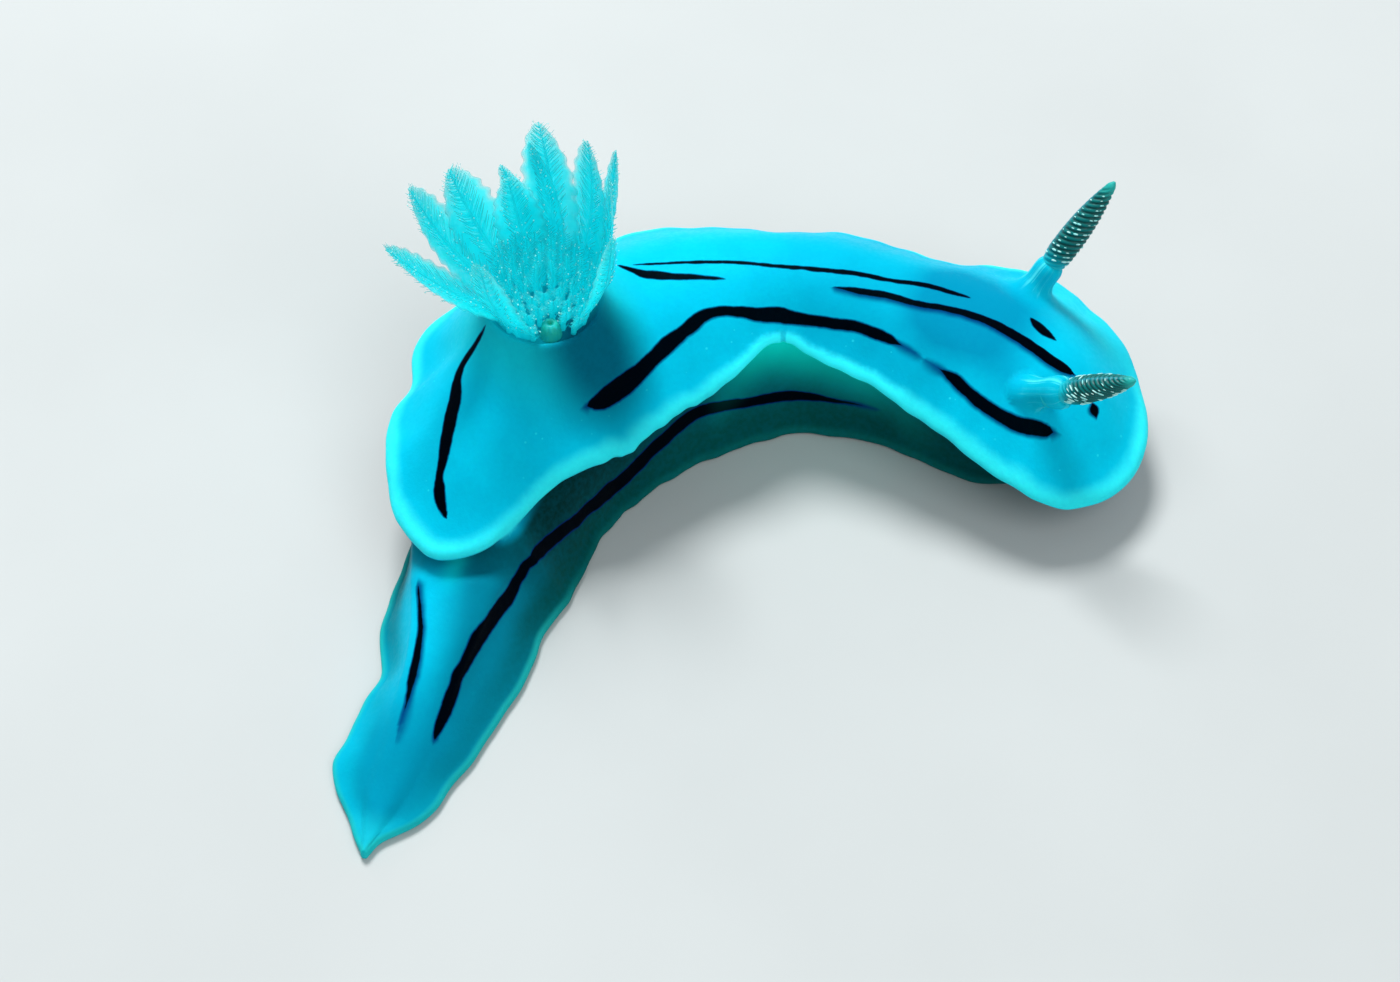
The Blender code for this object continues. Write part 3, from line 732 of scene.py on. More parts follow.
def closed_spline(corners: Array, count: int) -> Array:
    """Uniform cubic B-splines of closed rings of corners: each point blends four corners.

    Args:
        corners: Corners of shape (rings, corners, values).
        count: Points on each ring.

    Returns:
        Points of shape (rings, count, values).
    """
    total = corners.shape[1]
    where = np.linspace(0, total, count, endpoint=False)
    first = np.floor(where).astype(int)
    t = where - first
    weights = [(1 - t) ** 3, 3 * t**3 - 6 * t**2 + 4, -3 * t**3 + 3 * t**2 + 3 * t + 1, t**3]
    blend = np.zeros((count, total))
    for step, weight in enumerate(weights):
        np.add.at(blend, (np.arange(count), (first + step - 1) % total), weight / 6)
    return np.einsum("pc,rcv->rpv", blend, corners)


@dataclass(frozen=True)
class Head:
    """The head under the mantle: a short snout, puckered lips round an upright mouth, oral tentacles.

    Attributes:
        rows: Along, half width, lowest height and highest height of the snout's rings.
        lips: Share of the last ring and along of the rings that turn in to the mouth.
        tentacle: Along, across and height of the root and the tip, then radii from root to tip.
    """

    midline: Midline
    rows: tuple[Row, ...] = (
        (40.6, 1.60, 0.40, 2.10), (41.9, 1.62, 0.38, 2.00), (42.6, 1.50, 0.34, 1.90),
        (43.3, 1.28, 0.30, 1.75), (43.9, 1.10, 0.32, 1.62), (44.3, 0.98, 0.37, 1.55),
    )
    lips: tuple[Row, ...] = (
        (0.97, 44.42), (0.88, 44.52), (0.74, 44.56), (0.58, 44.55), (0.42, 44.48), (0.30, 44.34),
        (0.22, 44.14), (0.10, 43.95),
    )
    across: float = -0.3
    folds: int = 11
    fold_depth: float = 0.045
    tentacle_root: Row = (43.0, 1.05, 0.98)
    tentacle_tip: Row = (44.5, 2.25, 0.82)
    tentacle_radii: Row = (0.38, 0.35, 0.30, 0.22, 0.15, 0.07)
    rings: int = 26
    sides: int = 72
    tentacle_sides: int = 22

    def snout(self) -> Shell:
        """Ellipses along the snout, then smaller ones that turn in to an upright slit.

        Returns:
            The closed shell of the snout.
        """
        back, front = self.rows[0][0], self.rows[-1][0]
        turned_in, ahead = np.transpose(self.lips)
        along = np.concatenate([np.linspace(back, front, self.rings), ahead])
        inward = np.concatenate([np.ones(self.rings), turned_in])
        width, low, high = columns(np.minimum(along, front), self.rows)
        turn = circle(self.sides)[None]
        inward, along = inward[:, None], along[:, None]
        slit = ease(-inward, -0.6, -0.1)
        pucker = self.fold_depth * np.cos(self.folds * turn) * ease(along, 43.9, 44.4)
        pucker = 1 + pucker * ease(inward, 0.1, 0.6)
        across = self.across + width[:, None] * inward * pucker * (1 - 0.75 * slit) * np.cos(turn)
        half = 0.5 * (high - low)[:, None]
        height = 0.5 * (high + low)[:, None] + half * inward * pucker * (1 + 0.9 * slit) * np.sin(turn)
        rings = self.midline.place(along, across, height)
        return tube_shells(rings[None])

    def tentacle(self, side: int) -> Shell:
        """One oral tentacle: a tapered, slightly bent cone from the side of the snout.

        Args:
            side: 1 for the left one, -1 for the right one.

        Returns:
            The closed shell.
        """
        ends = []
        for along, across, height in (self.tentacle_root, self.tentacle_tip):
            ends.append(self.midline.place(along, self.across + side * across, height))
        share = np.linspace(0, 1, self.tentacle_sides)[:, None]
        bend = np.array([0, 0, -0.12]) * 4 * share * (1 - share)
        path = ends[0] + (ends[1] - ends[0]) * share + bend
        steps = np.linspace(0, 1, len(self.tentacle_radii))
        radii = through(share[:, 0], np.column_stack([steps, self.tentacle_radii]))[:, 0]
        up = np.broadcast_to(np.array([0.0, 0.0, 1.0]), path.shape)
        return tube_shells(carried_rings(path[None], up[None], radii[None], radii[None], self.tentacle_sides))


class Surface(Enum):
    """The part of the skin that a dark line runs over, which says what its rows hold."""

    BACK = "along and across on the mantle's top"
    TAIL = "along and across on the tail's top"
    FLANK = "along and height on the right wall"


@dataclass(frozen=True)
class DarkLine:
    """One dark line of the skin.

    Attributes:
        surface: What it runs over.
        rows: Along, across or height, and half width, from end to end.
        layer: Which set of marks carries it; lines of one set lie over 1.7 apart.
        glow: Width of the blue edge on the left or upper side, and on the other side.
        soften: How much wider the blue edge grows where the line thins out.
    """

    surface: Surface
    rows: tuple[Row, ...]
    layer: int = 1
    glow: Row = (0.07, 0.07)
    soften: float = 0.0
    spacing: float = 0.06
    above: float = 20.0
    outside: float = -5.6

    def samples(self, skin: BVHTree, midline: Midline) -> tuple[Array, Array, Array]:
        """Points close together on the line, where rays meet the skin.

        Args:
            skin: The plain skin, in millimetres.
            midline: The animal's midline.

        Returns:
            The points, the way across the line at each, and the half widths.
        """
        rows = np.asarray(self.rows)
        chords = run_up(rows[:, :2])
        steps = np.linspace(0, chords[-1], max(12, int(chords[-1] / self.spacing)))
        along, second, half = through(steps, np.column_stack([chords, rows])).T
        on_line = self._on_skin(along, second, skin, midline)
        beside = self._on_skin(along, second + 2 * self.spacing, skin, midline)
        tangent = unit(np.gradient(on_line, axis=0))
        return on_line, square_to(tangent, beside - on_line), half

    def _on_skin(self, along: Array, second: Array, skin: BVHTree, midline: Midline) -> Array:
        """Where rays first meet the skin: level ones from beside it for a flank, else straight down."""
        if self.surface is Surface.FLANK:
            start = midline.place(along, self.outside, second)
            way = midline.place(along, 0.0, second) - start
        else:
            start = midline.place(along, second, self.above)
            way = np.broadcast_to([0.0, 0.0, -1.0], start.shape)
        return np.array([skin.ray_cast(Vector(place), Vector(ahead))[0] for place, ahead in zip(start, way)])


@dataclass(frozen=True)
class Markings:
    """The dark lines of the back, the flanks and the tail.

    Attributes:
        lines: The lines.
        reach: How far from a line its marks are kept; past it they fade to a width that shows nothing.
    """

    lines: tuple[DarkLine, ...] = (
        DarkLine(
            Surface.BACK,
            (
                (18.7, 1.04, 0.04), (18.1, 1.19, 0.12), (17.5, 1.36, 0.15), (17.05, 1.28, 0.20),
                (16.6, 1.10, 0.26), (15.7, 0.91, 0.27), (14.9, 0.78, 0.25), (14.1, 0.65, 0.18),
                (13.65, 0.62, 0.16), (13.3, 0.51, 0.23), (12.95, 0.36, 0.22), (12.55, 0.10, 0.11),
                (12.4, -0.02, 0.02),
            ),
        ),
        DarkLine(
            Surface.BACK,
            (
                (19.45, -3.42, 0.16), (19.8, -3.50, 0.26), (20.2, -3.56, 0.36), (21.2, -3.60, 0.42),
                (22.3, -3.54, 0.38), (23.0, -3.43, 0.32), (24.2, -3.16, 0.28), (24.8, -2.99, 0.31),
                (26.0, -2.64, 0.24), (26.6, -2.43, 0.26), (27.05, -2.27, 0.22), (27.8, -2.19, 0.185),
                (28.65, -2.24, 0.18), (29.5, -2.27, 0.25), (30.9, -2.20, 0.285), (31.6, -2.20, 0.23),
                (33.2, -2.16, 0.20), (34.7, -2.06, 0.20), (35.3, -2.13, 0.20), (35.7, -2.19, 0.15),
                (36.0, -2.24, 0.05), (36.4, -2.29, -0.02), (36.9, -2.35, -0.06), (37.15, -2.37, -0.14),
            ),
            glow=(0.07, 0.12),
            soften=3.0,
        ),
        DarkLine(
            Surface.BACK,
            (
                (37.35, -2.39, -0.12), (37.7, -2.44, -0.05), (38.1, -2.50, 0.03), (38.4, -2.55, 0.14),
                (38.7, -2.61, 0.20), (39.2, -2.79, 0.21), (40.0, -2.98, 0.23), (40.9, -3.10, 0.25),
                (41.6, -3.07, 0.29), (42.1, -2.92, 0.28), (42.45, -2.80, 0.21),
            ),
            glow=(0.12, 0.2),
            soften=1.8,
        ),
        DarkLine(
            Surface.BACK, ((43.70, -1.00, 0.18), (43.76, -1.07, 0.21), (43.82, -1.14, 0.19)), glow=(0.1, 0.2)
        ),
        DarkLine(
            Surface.BACK,
            (
                (24.5, 0.70, 0.05), (24.85, 0.30, 0.12), (25.2, -0.05, 0.19), (25.6, -0.23, 0.20),
                (26.3, -0.50, 0.15), (27.2, -0.74, 0.10), (28.3, -0.98, 0.02),
            ),
            layer=2,
        ),
        DarkLine(
            Surface.BACK,
            (
                (33.0, -0.98, 0.02), (33.4, -0.93, 0.07), (33.9, -0.87, 0.12), (35.0, -0.66, 0.145),
                (36.4, -0.53, 0.13), (37.2, -0.31, 0.135), (38.1, -0.10, 0.16), (39.0, 0.0, 0.185),
                (40.0, -0.03, 0.21), (41.0, -0.17, 0.24), (41.7, -0.30, 0.24), (42.5, -0.32, 0.12),
                (42.65, -0.32, 0.03),
            ),
            layer=2,
            glow=(0.05, 0.30),
        ),
        DarkLine(
            Surface.BACK,
            (
                (40.4, 1.13, 0.08), (40.7, 0.97, 0.20), (41.0, 0.85, 0.21), (41.3, 0.79, 0.14),
                (41.55, 0.73, 0.03),
            ),
        ),
        DarkLine(
            Surface.BACK,
            (
                (25.0, 0.56, 0.03), (26.0, 0.28, 0.055), (27.1, 0.04, 0.065), (29.0, -0.27, 0.075),
                (30.5, -0.47, 0.07), (32.2, -0.40, 0.09), (33.6, -0.14, 0.11), (35.0, 0.10, 0.09),
                (36.2, 0.44, 0.105), (37.2, 0.58, 0.105), (37.95, 0.71, 0.02),
            ),
            layer=3,
            glow=(0.05, 0.05),
        ),
        DarkLine(
            Surface.FLANK,
            (
                (4.7, 1.24, 0.02), (4.95, 1.32, 0.12), (5.4, 1.44, 0.20), (5.8, 1.52, 0.235),
                (6.2, 1.62, 0.255), (6.7, 1.75, 0.25), (7.1, 1.88, 0.245), (7.55, 1.94, 0.245),
                (8.0, 2.01, 0.28), (8.7, 2.08, 0.325), (9.4, 2.04, 0.295), (10.4, 2.00, 0.31),
                (11.5, 1.94, 0.24), (12.05, 2.05, 0.22), (12.45, 2.31, 0.215), (12.95, 2.42, 0.26),
                (13.7, 2.24, 0.275), (14.9, 1.94, 0.255), (16.2, 1.65, 0.27), (17.0, 1.58, 0.28),
                (17.8, 1.53, 0.33), (18.9, 1.43, 0.35), (20.0, 1.31, 0.31), (20.9, 1.38, 0.31),
                (22.0, 1.45, 0.31), (23.8, 1.72, 0.29), (25.3, 1.93, 0.29), (26.8, 2.09, 0.25),
                (28.2, 1.97, 0.23), (29.4, 1.86, 0.21), (30.5, 1.91, 0.24), (31.3, 1.85, 0.25),
                (32.3, 1.79, 0.20), (33.2, 1.76, 0.12), (34.6, 1.71, 0.02), (35.4, 1.68, -0.1),
            ),
            glow=(0.08, 0.10),
            soften=2.0,
        ),
        DarkLine(
            Surface.FLANK,
            (
                (12.4, 2.30, 0.02), (13.4, 2.24, 0.20), (15.5, 1.86, 0.25), (18.5, 1.55, 0.31),
                (21.5, 1.45, 0.28), (25.0, 1.80, 0.27), (28.5, 1.92, 0.21), (31.5, 1.85, 0.22),
                (34.5, 1.72, 0.12), (36.0, 1.66, 0.02),
            ),
            outside=5.6,
        ),
        DarkLine(
            Surface.TAIL,
            (
                (10.3, 0.68, 0.04), (9.3, 0.43, 0.085), (8.3, 0.24, 0.11), (7.8, 0.22, 0.125),
                (7.35, 0.19, 0.155), (6.9, 0.17, 0.17), (6.5, 0.16, 0.15), (6.1, 0.13, 0.10),
                (5.6, 0.11, 0.03), (5.1, 0.12, -0.03), (4.6, 0.12, -0.08), (4.2, 0.10, -0.17),
            ),
            layer=2,
            glow=(0.10, 0.22),
            soften=1.2,
        ),
    )
    reach: float = 0.55
    nowhere: float = -1.0

    def marks(self, points: Array, back: Array, skin: BVHTree, midline: Midline) -> dict[str, Array]:
        """Distance across the nearest line of each layer, its half width and its blue edge's width.

        Args:
            points: World points of the skin.
            back: 1 for points of the mantle's top, 0 for the others.
            skin: The skin, which the lines are carried to.
            midline: The animal's midline.

        Returns:
            The marks line_off, line_half and line_glow of each layer, in millimetres.
        """
        found = {}
        for layer in sorted({line.layer for line in self.lines}):
            nearest = np.full(len(points), 9.0)
            off, half = np.full(len(points), 9.0), np.full(len(points), self.nowhere)
            glow = np.full(len(points), 0.05)
            for line in (line for line in self.lines if line.layer == layer):
                on_line, sideways, widths = line.samples(skin, midline)
                fits = back > 0.5 if line.surface is Surface.BACK else back < 0.1
                near = np.all((points > on_line.min(0) - 1.5) & (points < on_line.max(0) + 1.5), axis=1)
                chosen = np.flatnonzero(fits & near)
                number, distance = nearest_of(points[chosen], on_line)
                away = points[chosen] - on_line[number]
                tangent = unit(np.gradient(on_line, axis=0))[number]
                at_end = (number == 0) | (number == len(on_line) - 1)
                past = np.where(at_end, np.abs(np.sum(away * tangent, -1)), 0)
                width = widths[number] - past
                width += (self.nowhere - width) * ease(distance, self.reach, self.reach + 0.3)
                side = np.sum(away * sideways[number], -1)
                closer = distance < nearest[chosen]
                chosen = chosen[closer]
                nearest[chosen], off[chosen], half[chosen] = distance[closer], side[closer], width[closer]
                wider = 1 + line.soften * ease(-width, -0.12, 0.05)
                glow[chosen] = (np.where(side > 0, *line.glow) * wider)[closer]
            found |= {f"line_off_{layer}": off, f"line_half_{layer}": half, f"line_glow_{layer}": glow}
        return found


def nearest_of(points: Array, line: Array) -> tuple[Array, Array]:
    """The nearest of a line's points to each point.

    Args:
        points: The points.
        line: Points close together on a line.

    Returns:
        The number of the nearest point of the line, and how far it is.
    """
    number, distance = [], []
    for part in np.array_split(points, max(1, len(points) // 4000)):
        gaps = np.linalg.norm(part[:, None] - line[None], axis=-1)
        number.append(gaps.argmin(1))
        distance.append(gaps.min(1))
    return np.concatenate(number), np.concatenate(distance)


def softened(points: Array, edges: Array, weight: Array, rounds: int) -> Array:
    """Points moved towards the mean of their neighbours, by half their weight, several times.

    Args:
        points: The points.
        edges: Pairs of point numbers.
        weight: 1 where a point moves freely, 0 where it stays.
        rounds: How many times.

    Returns:
        The moved points.
    """
    ends, others = np.concatenate([edges, edges[:, ::-1]]).T
    count = np.maximum(np.bincount(ends, minlength=len(points)), 1)
    for _ in range(rounds):
        mean = np.stack([np.bincount(ends, points[others, i], len(points)) / count for i in range(3)], -1)
        points = points + 0.5 * weight[:, None] * (mean - points)
    return points


def fused(name: str, parts: Sequence[bpy.types.Object]) -> bpy.types.Object:
    """One closed surface over several that overlap, by a Boolean union that is applied.

    Args:
        name: Name of the new object.
        parts: The objects to fuse; they are removed.

    Returns:
        The fused object.
    """
    first, *others = parts
    for other in others:
        joining = first.modifiers.new(other.name, "BOOLEAN")
        joining.operation = "UNION"
        joining.solver = "MANIFOLD"
        joining.object = other
    graph = bpy.context.evaluated_depsgraph_get()
    mesh = bpy.data.meshes.new_from_object(first.evaluated_get(graph))
    mesh.name = name
    for part in parts:
        bpy.data.objects.remove(part)
    mesh.shade_smooth()
    return new_object(name, mesh)


def placed(piece: bpy.types.Object, look: bpy.types.Material, replaced: Sequence[str]) -> None:
    """Give a piece its material, its body and the nodes it stands for, and report it."""
    piece.data.materials.clear()
    piece.data.materials.append(look)
    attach(piece, BODY)
    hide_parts(*replaced)
    LOG.info("%s: %d faces", piece.name, len(piece.data.polygons))


@dataclass(frozen=True)
class Skin:
    """The one skin over mantle, body, head and oral tentacles, which replaces the nodes of flesh.

    Attributes:
        margin: Along and width of the mantle's pale margin.
        crease_reach: How near a crease between two shells the skin is softened.
        crease_rounds: How often it is softened.
        shade_patch: Along, across, half length and half width of the painted shadow that the gill casts on
            the mantle in front of it.
    """

    midline: Midline
    mantle: Mantle
    body: Body
    head: Head
    markings: Markings
    replaced: tuple[str, ...] = (
        "tail", "body_rear", "body_bend", "body_front", "mantle_rear", "mantle_bend", "mantle_middle",
        "mantle_head", "head", "oral_tentacle_left", "oral_tentacle_right",
    )
    margin: tuple[Row, ...] = (
        (11.0, 0.80), (16.0, 0.72), (22.0, 0.78), (27.0, 0.60), (30.0, 0.44), (33.0, 0.46), (38.0, 0.66),
        (42.0, 0.78), (45.9, 0.80),
    )
    crease_reach: float = 0.32
    crease_rounds: int = 24
    shade_patch: Row = (21.0, -2.5, 2.9, 3.0)

    def build(self) -> bpy.types.Object:
        """Fuse the shells, soften the creases between them and write the marks.

        Returns:
            The skin.
        """
        shells = {
            "mantle_shell": self.mantle.shell(),
            "body_shell": self.body.shell(),
            "snout_shell": self.head.snout(),
            "tentacle_left_shell": self.head.tentacle(1),
            "tentacle_right_shell": self.head.tentacle(-1),
        }
        skin = fused("skin", [shell.piece(name) for name, shell in shells.items()])
        mesh = skin.data
        points = np.zeros(len(mesh.vertices) * 3, np.float32)
        mesh.vertices.foreach_get("co", points)
        edges = np.zeros(len(mesh.edges) * 2, np.int32)
        mesh.edges.foreach_get("vertices", edges)
        points = points.reshape(-1, 3).astype(float) / MM
        points = softened(points, edges.reshape(-1, 2), self.crease(points), self.crease_rounds)
        mesh.vertices.foreach_set("co", (points * MM).astype(np.float32).ravel())
        mesh.update()
        write_marks(mesh, self.marks(points))
        return skin

    def crease(self, points: Array) -> Array:
        """1 where the flanks meet the mantle's underside, falling to 0 round it."""
        along, across = self.midline.locate(points)
        inside = np.clip(along, self.mantle.start + 0.3, self.body.front)
        left, right = (self.body.wall(inside, side, np.ones_like(inside))[0] for side in (1, -1))
        level = np.abs(points[:, 2] - self.mantle.under(inside, across))
        sideways = np.minimum(np.abs(across - left), np.abs(across - right))
        covered = ease(along, self.mantle.start - 0.2, self.mantle.start + 0.4)
        return covered * ease(-np.maximum(level, sideways), -2 * self.crease_reach, -self.crease_reach)

    def plain(self) -> BVHTree:
        """The mantle without its sheaths, and the body, which the dark lines are carried to."""
        shell = Shell.joined([replace(self.mantle, sheaths=()).shell(), self.body.shell()])
        faces = [face for part in shell.faces for face in part.tolist()]
        return BVHTree.FromPolygons(shell.points.tolist(), faces)

    def marks(self, points: Array) -> dict[str, Array]:
        """What the skin's finish reads at each point.

        Args:
            points: World points of the skin, in millimetres.

        Returns:
            back, 1 on the mantle's top; rim, distance from the margin as a share of the pale margin's
            width; inward, 1 on the crest and 0 at the margin; foot, distance from the foot's edge;
            snout, 1 on snout and oral tentacles; along; right, how far to the right of the midline;
            collar, 1 on the gill collar; gill_shade, 1 in the middle of the gill's painted shadow; the
            sheaths' marks; and those of the dark lines.
        """
        along, across = self.midline.locate(points)
        inside = np.clip(along, self.mantle.start + 0.02, self.mantle.end - 0.02)
        covered = ease(along, self.mantle.start - 0.4, self.mantle.start)
        back = ease(points[:, 2] - self.mantle.base(inside, across), -0.16, 0.04) * covered
        left, right = self.body.edges(np.clip(along, 0, self.body.front))
        to_foot = np.minimum(np.abs(across - left), np.abs(across - right))
        above_foot = np.maximum(points[:, 2] - self.body.foot_top_height, 0)
        below = self.mantle.under(inside, across) - points[:, 2]
        collar = self.mantle.collar
        centre = self.midline.place(collar.along, collar.across, 0.0)
        from_collar = np.hypot(points[:, 0] - centre[0], points[:, 1] - centre[1])
        sheaths = self.sheath_marks(points)
        lines = self.markings.marks(points, back, self.plain(), self.midline)
        for name in lines:
            if name.startswith("line_half"):
                lines[name] = lines[name] - ease(sheaths["sheath"], 0.25, 0.75)
        return {
            "back": back,
            "rim": nearest_of(points, self.mantle.outline())[1] / through(along, self.margin)[:, 0],
            "inward": 1 - self.mantle.share(inside, across),
            "foot": np.hypot(to_foot, 0.6 * above_foot),
            "snout": ease(along, 41.8, 42.8) * ease(below, 0.1, 0.5),
            "along": along,
            "right": -across,
            "collar": back * ease(-from_collar, -collar.foot_radius, -collar.rim_radius),
            "gill_shade": self.gill_shade(points, back),
            **sheaths,
            **lines,
        }

    def gill_shade(self, points: Array, back: Array) -> Array:
        """The painted shadow of the gill: a soft darker patch on the mantle in front of it, 1 in its middle,
        0 past its ellipse.
        """
        along, across, long, wide = self.shade_patch
        middle = self.midline.place(along, across, 0.0)
        off = np.hypot((points[:, 0] - middle[0]) / wide, (points[:, 1] - middle[1]) / long)
        return back * ease(-off, -1.0, -0.25)

    def sheath_marks(self, points: Array) -> dict[str, Array]:
        """sheath, how far up a sheath a point is, and sheath_u and sheath_v, its way round the axis."""
        up, u, v = np.zeros(len(points)), np.zeros(len(points)), np.zeros(len(points))
        for sheath in self.mantle.sheaths:
            off = points - self.mantle.sheath_foot(sheath)
            rise = off @ sheath.axis
            flat = off - rise[:, None] * sheath.axis
            share = np.clip(rise / (0.3 * sheath.length), 0, 1)
            sleeve = sheath.foot_radius + (sheath.top_radius - sheath.foot_radius) * 0.5 * share
            past = np.linalg.norm(flat, axis=1) - sleeve
            first = unit(np.cross(sheath.axis, [0.0, 0.0, 1.0]))
            second = np.cross(sheath.axis, first)
            here = (past < 0.3) & (rise > -0.4) & (rise < sheath.length + 0.3)
            up[here] = ease(rise[here], 0.02, 0.55) * ease(-past[here], -0.28, -0.04)
            round_axis = unit(flat[here])
            u[here], v[here] = round_axis @ first, round_axis @ second
        return {"sheath": up, "sheath_u": u, "sheath_v": v}


@dataclass(frozen=True)
class GillPlume:
    """One plume of the gill, a branch of one, or a short tuft between them.

    Attributes:
        azimuth: Where its root stands in the ring, in degrees from +x.
        tip: Its tip from its root.
        longest: Length of its longest pinnules.
        out: How far its root is from the middle of the pocket.
    """

    azimuth: float
    tip: Row
    longest: float
    out: float = 1.6


@dataclass(frozen=True)
class Gill:
    """The tuft of plumes in the pocket of the collar: stems, blades, pinnules and grains.

    Attributes:
        plumes: The nine plumes.
        branches: Branches that leave tall plumes.
        tuft_count: How many short tufts fill the pocket.
        tuft_reach: How far out their roots stand and their tips lean at most.
        tuft_height: Their middle height, and how much higher they are at the back of the ring.
        tuft_width: Length of their longest pinnules.
        parting: Azimuth and distance of the papilla, and how far the tufts keep from it.
        above_floor: How far above the pocket's floor the plumes' own heights begin.
        sunk: How far the stems start below the pocket's floor.
        bow: How far a spine bows outwards on its way up, as a share of its height.
        stem: Radius of a stem at its root and at its tip.
        blade: Half width of the blade as a share of the longest pinnules, and its half thickness.
        cup: How far the blade's edges turn in, as a share of its half width.
        rows: Way of each row of pinnules, in degrees from sideways to inwards, and its length's share.
        steps: Pinnules in a row, on a tall plume and on a tuft.
        pinnule: Half width of a pinnule at its root and at its tip.
        flatness: Thickness of a pinnule over its width.
        stem_mesh, blade_mesh, pinnule_mesh: Rings of each, and points on a ring.
        grains: How many white grains there are.
        tuft_grains: How likely a grain is to lie on a tuft's pinnule, beside a tall plume's.
        grain: Smallest and largest radius of a grain.
    """

    midline: Midline
    collar: Collar
    plumes: tuple[GillPlume, ...] = (
        GillPlume(200, (-4.00, -1.30, 4.9), 1.20),
        GillPlume(168, (-3.20, 0.20, 5.6), 1.15),
        GillPlume(137, (-2.20, 0.60, 5.4), 1.20),
        GillPlume(106, (-0.80, 0.50, 4.6), 1.00),
        GillPlume(74, (-0.50, 1.60, 6.4), 1.15),
        GillPlume(42, (0.60, 1.00, 6.5), 1.05),
        GillPlume(8, (1.05, 0.50, 6.0), 1.00),
        GillPlume(-30, (1.30, -1.00, 5.4), 0.95),
        GillPlume(238, (-1.20, -1.70, 5.4), 1.00),
    )
    branches: tuple[GillPlume, ...] = (
        GillPlume(84, (-1.70, 1.20, 4.5), 0.60),
        GillPlume(70, (-1.00, 1.70, 5.3), 0.55),
        GillPlume(34, (1.50, 1.00, 6.2), 0.55),
    )
    tuft_count: int = 60
    tuft_reach: Row = (1.85, 0.50)
    tuft_height: Row = (1.45, 0.45)
    tuft_width: float = 0.60
    parting: Row = (282.0, 1.45, 0.42)
    above_floor: float = 0.3
    sunk: float = 0.35
    bow: float = 0.10
    stem: Row = (0.12, 0.03)
    blade: Row = (0.94, 0.05)
    cup: float = 0.2
    rows: tuple[Row, ...] = ((0.0, 0.92), (180.0, 0.92), (20.0, 0.8), (160.0, 0.8))
    steps: tuple[int, int] = (38, 13)
    pinnule: Row = (0.036, 0.014)
    flatness: float = 0.7
    stem_mesh: tuple[int, int] = (40, 7)
    blade_mesh: tuple[int, int] = (60, 18)
    pinnule_mesh: tuple[int, int] = (5, 5)
    grains: int = 1100
    tuft_grains: float = 0.3
    grain: Row = (0.02, 0.036)
    seed: int = 11

    @cached_property
    def tall(self) -> tuple[GillPlume, ...]:
        """The plumes and their branches."""
        return self.plumes + self.branches

    @cached_property
    def tufts(self) -> tuple[GillPlume, ...]:
        """Short tufts that stand like the seeds of a sunflower, a golden angle apart."""
        number = np.arange(self.tuft_count)
        turn = number * math.pi * (3 - math.sqrt(5))
        out = self.tuft_reach[0] * np.sqrt((number + 0.5) / self.tuft_count)
        lean = self.tuft_reach[1] * out / self.tuft_reach[0]
        height = self.tuft_height[0] + self.tuft_height[1] * np.sin(turn) - 0.3 * lean
        azimuth, distance, apart = self.parting
        gap = distance * np.exp(1j * math.radians(azimuth))
        kept = np.abs(out * np.exp(1j * turn) - gap) > apart
        tip = np.stack([lean * np.cos(turn), lean * np.sin(turn), height], -1)
        return tuple(
            GillPlume(math.degrees(turn[i]), tuple(tip[i]), self.tuft_width, out[i])
            for i in np.flatnonzero(kept)
        )

    def swell(self, share: Array) -> Array:
        """How long the pinnules are up a plume: 0.2 + 0.8 sin(pi (0.14 + 0.78t))^0.75, to a blunt tip."""
        return 0.2 + 0.8 * np.sin(math.pi * np.clip(0.14 + 0.78 * share, 0, 1)) ** 0.75

    def spines(self, leaves: Sequence[GillPlume], share: Array) -> tuple[Array, Array]:
        """Points up every leaf's spine: root + tip t + bow 4t(1 - t)(1 - 0.4t), led down into the pocket.

        Args:
            leaves: Plumes, branches or tufts.
            share: 0 at the root, 1 at the tip, of any shape after the first axis of leaves.

        Returns:
            The points, and each leaf's way outwards, of the same shape.
        """
        angle = np.radians([leaf.azimuth for leaf in leaves])
        outward = np.stack([np.cos(angle), np.sin(angle), np.zeros_like(angle)], -1)
        floor = self.collar.top - self.collar.pocket_depth
        roots = self.midline.place(self.collar.along, self.collar.across, floor + self.above_floor)
        roots = roots + outward * np.array([leaf.out for leaf in leaves])[:, None]
        tips = np.array([leaf.tip for leaf in leaves])
        shape = (len(leaves),) + (1,) * (share.ndim - 1) + (3,)
        outward, roots, tips = (values.reshape(shape) for values in (outward, roots, tips))
        t = share[..., None]
        bow = outward * tips[..., 2:] * self.bow * 4 * t * (1 - t) * (1 - 0.4 * t)
        down = np.array([0.0, 0.0, 1.0]) * (self.above_floor + self.sunk) * ease(-t, -0.12, 0)
        return roots + tips * t + bow - down, np.broadcast_to(outward, t.shape[:-1] + (3,))

    def stems(self, leaves: Sequence[GillPlume]) -> Shell:
        """Tapering stems up the leaves' spines."""
        count, sides = self.stem_mesh
        share = np.broadcast_to(np.linspace(0, 1, count), (len(leaves), count))
        path, outward = self.spines(leaves, share)
        radius = self.stem[0] + (self.stem[1] - self.stem[0]) * share**0.8
        rings = carried_rings(path, outward, radius, radius, sides)
        return tube_shells(rings, {"tip": np.repeat(share[..., None] * 0.5 + 0.3, sides, -1)})

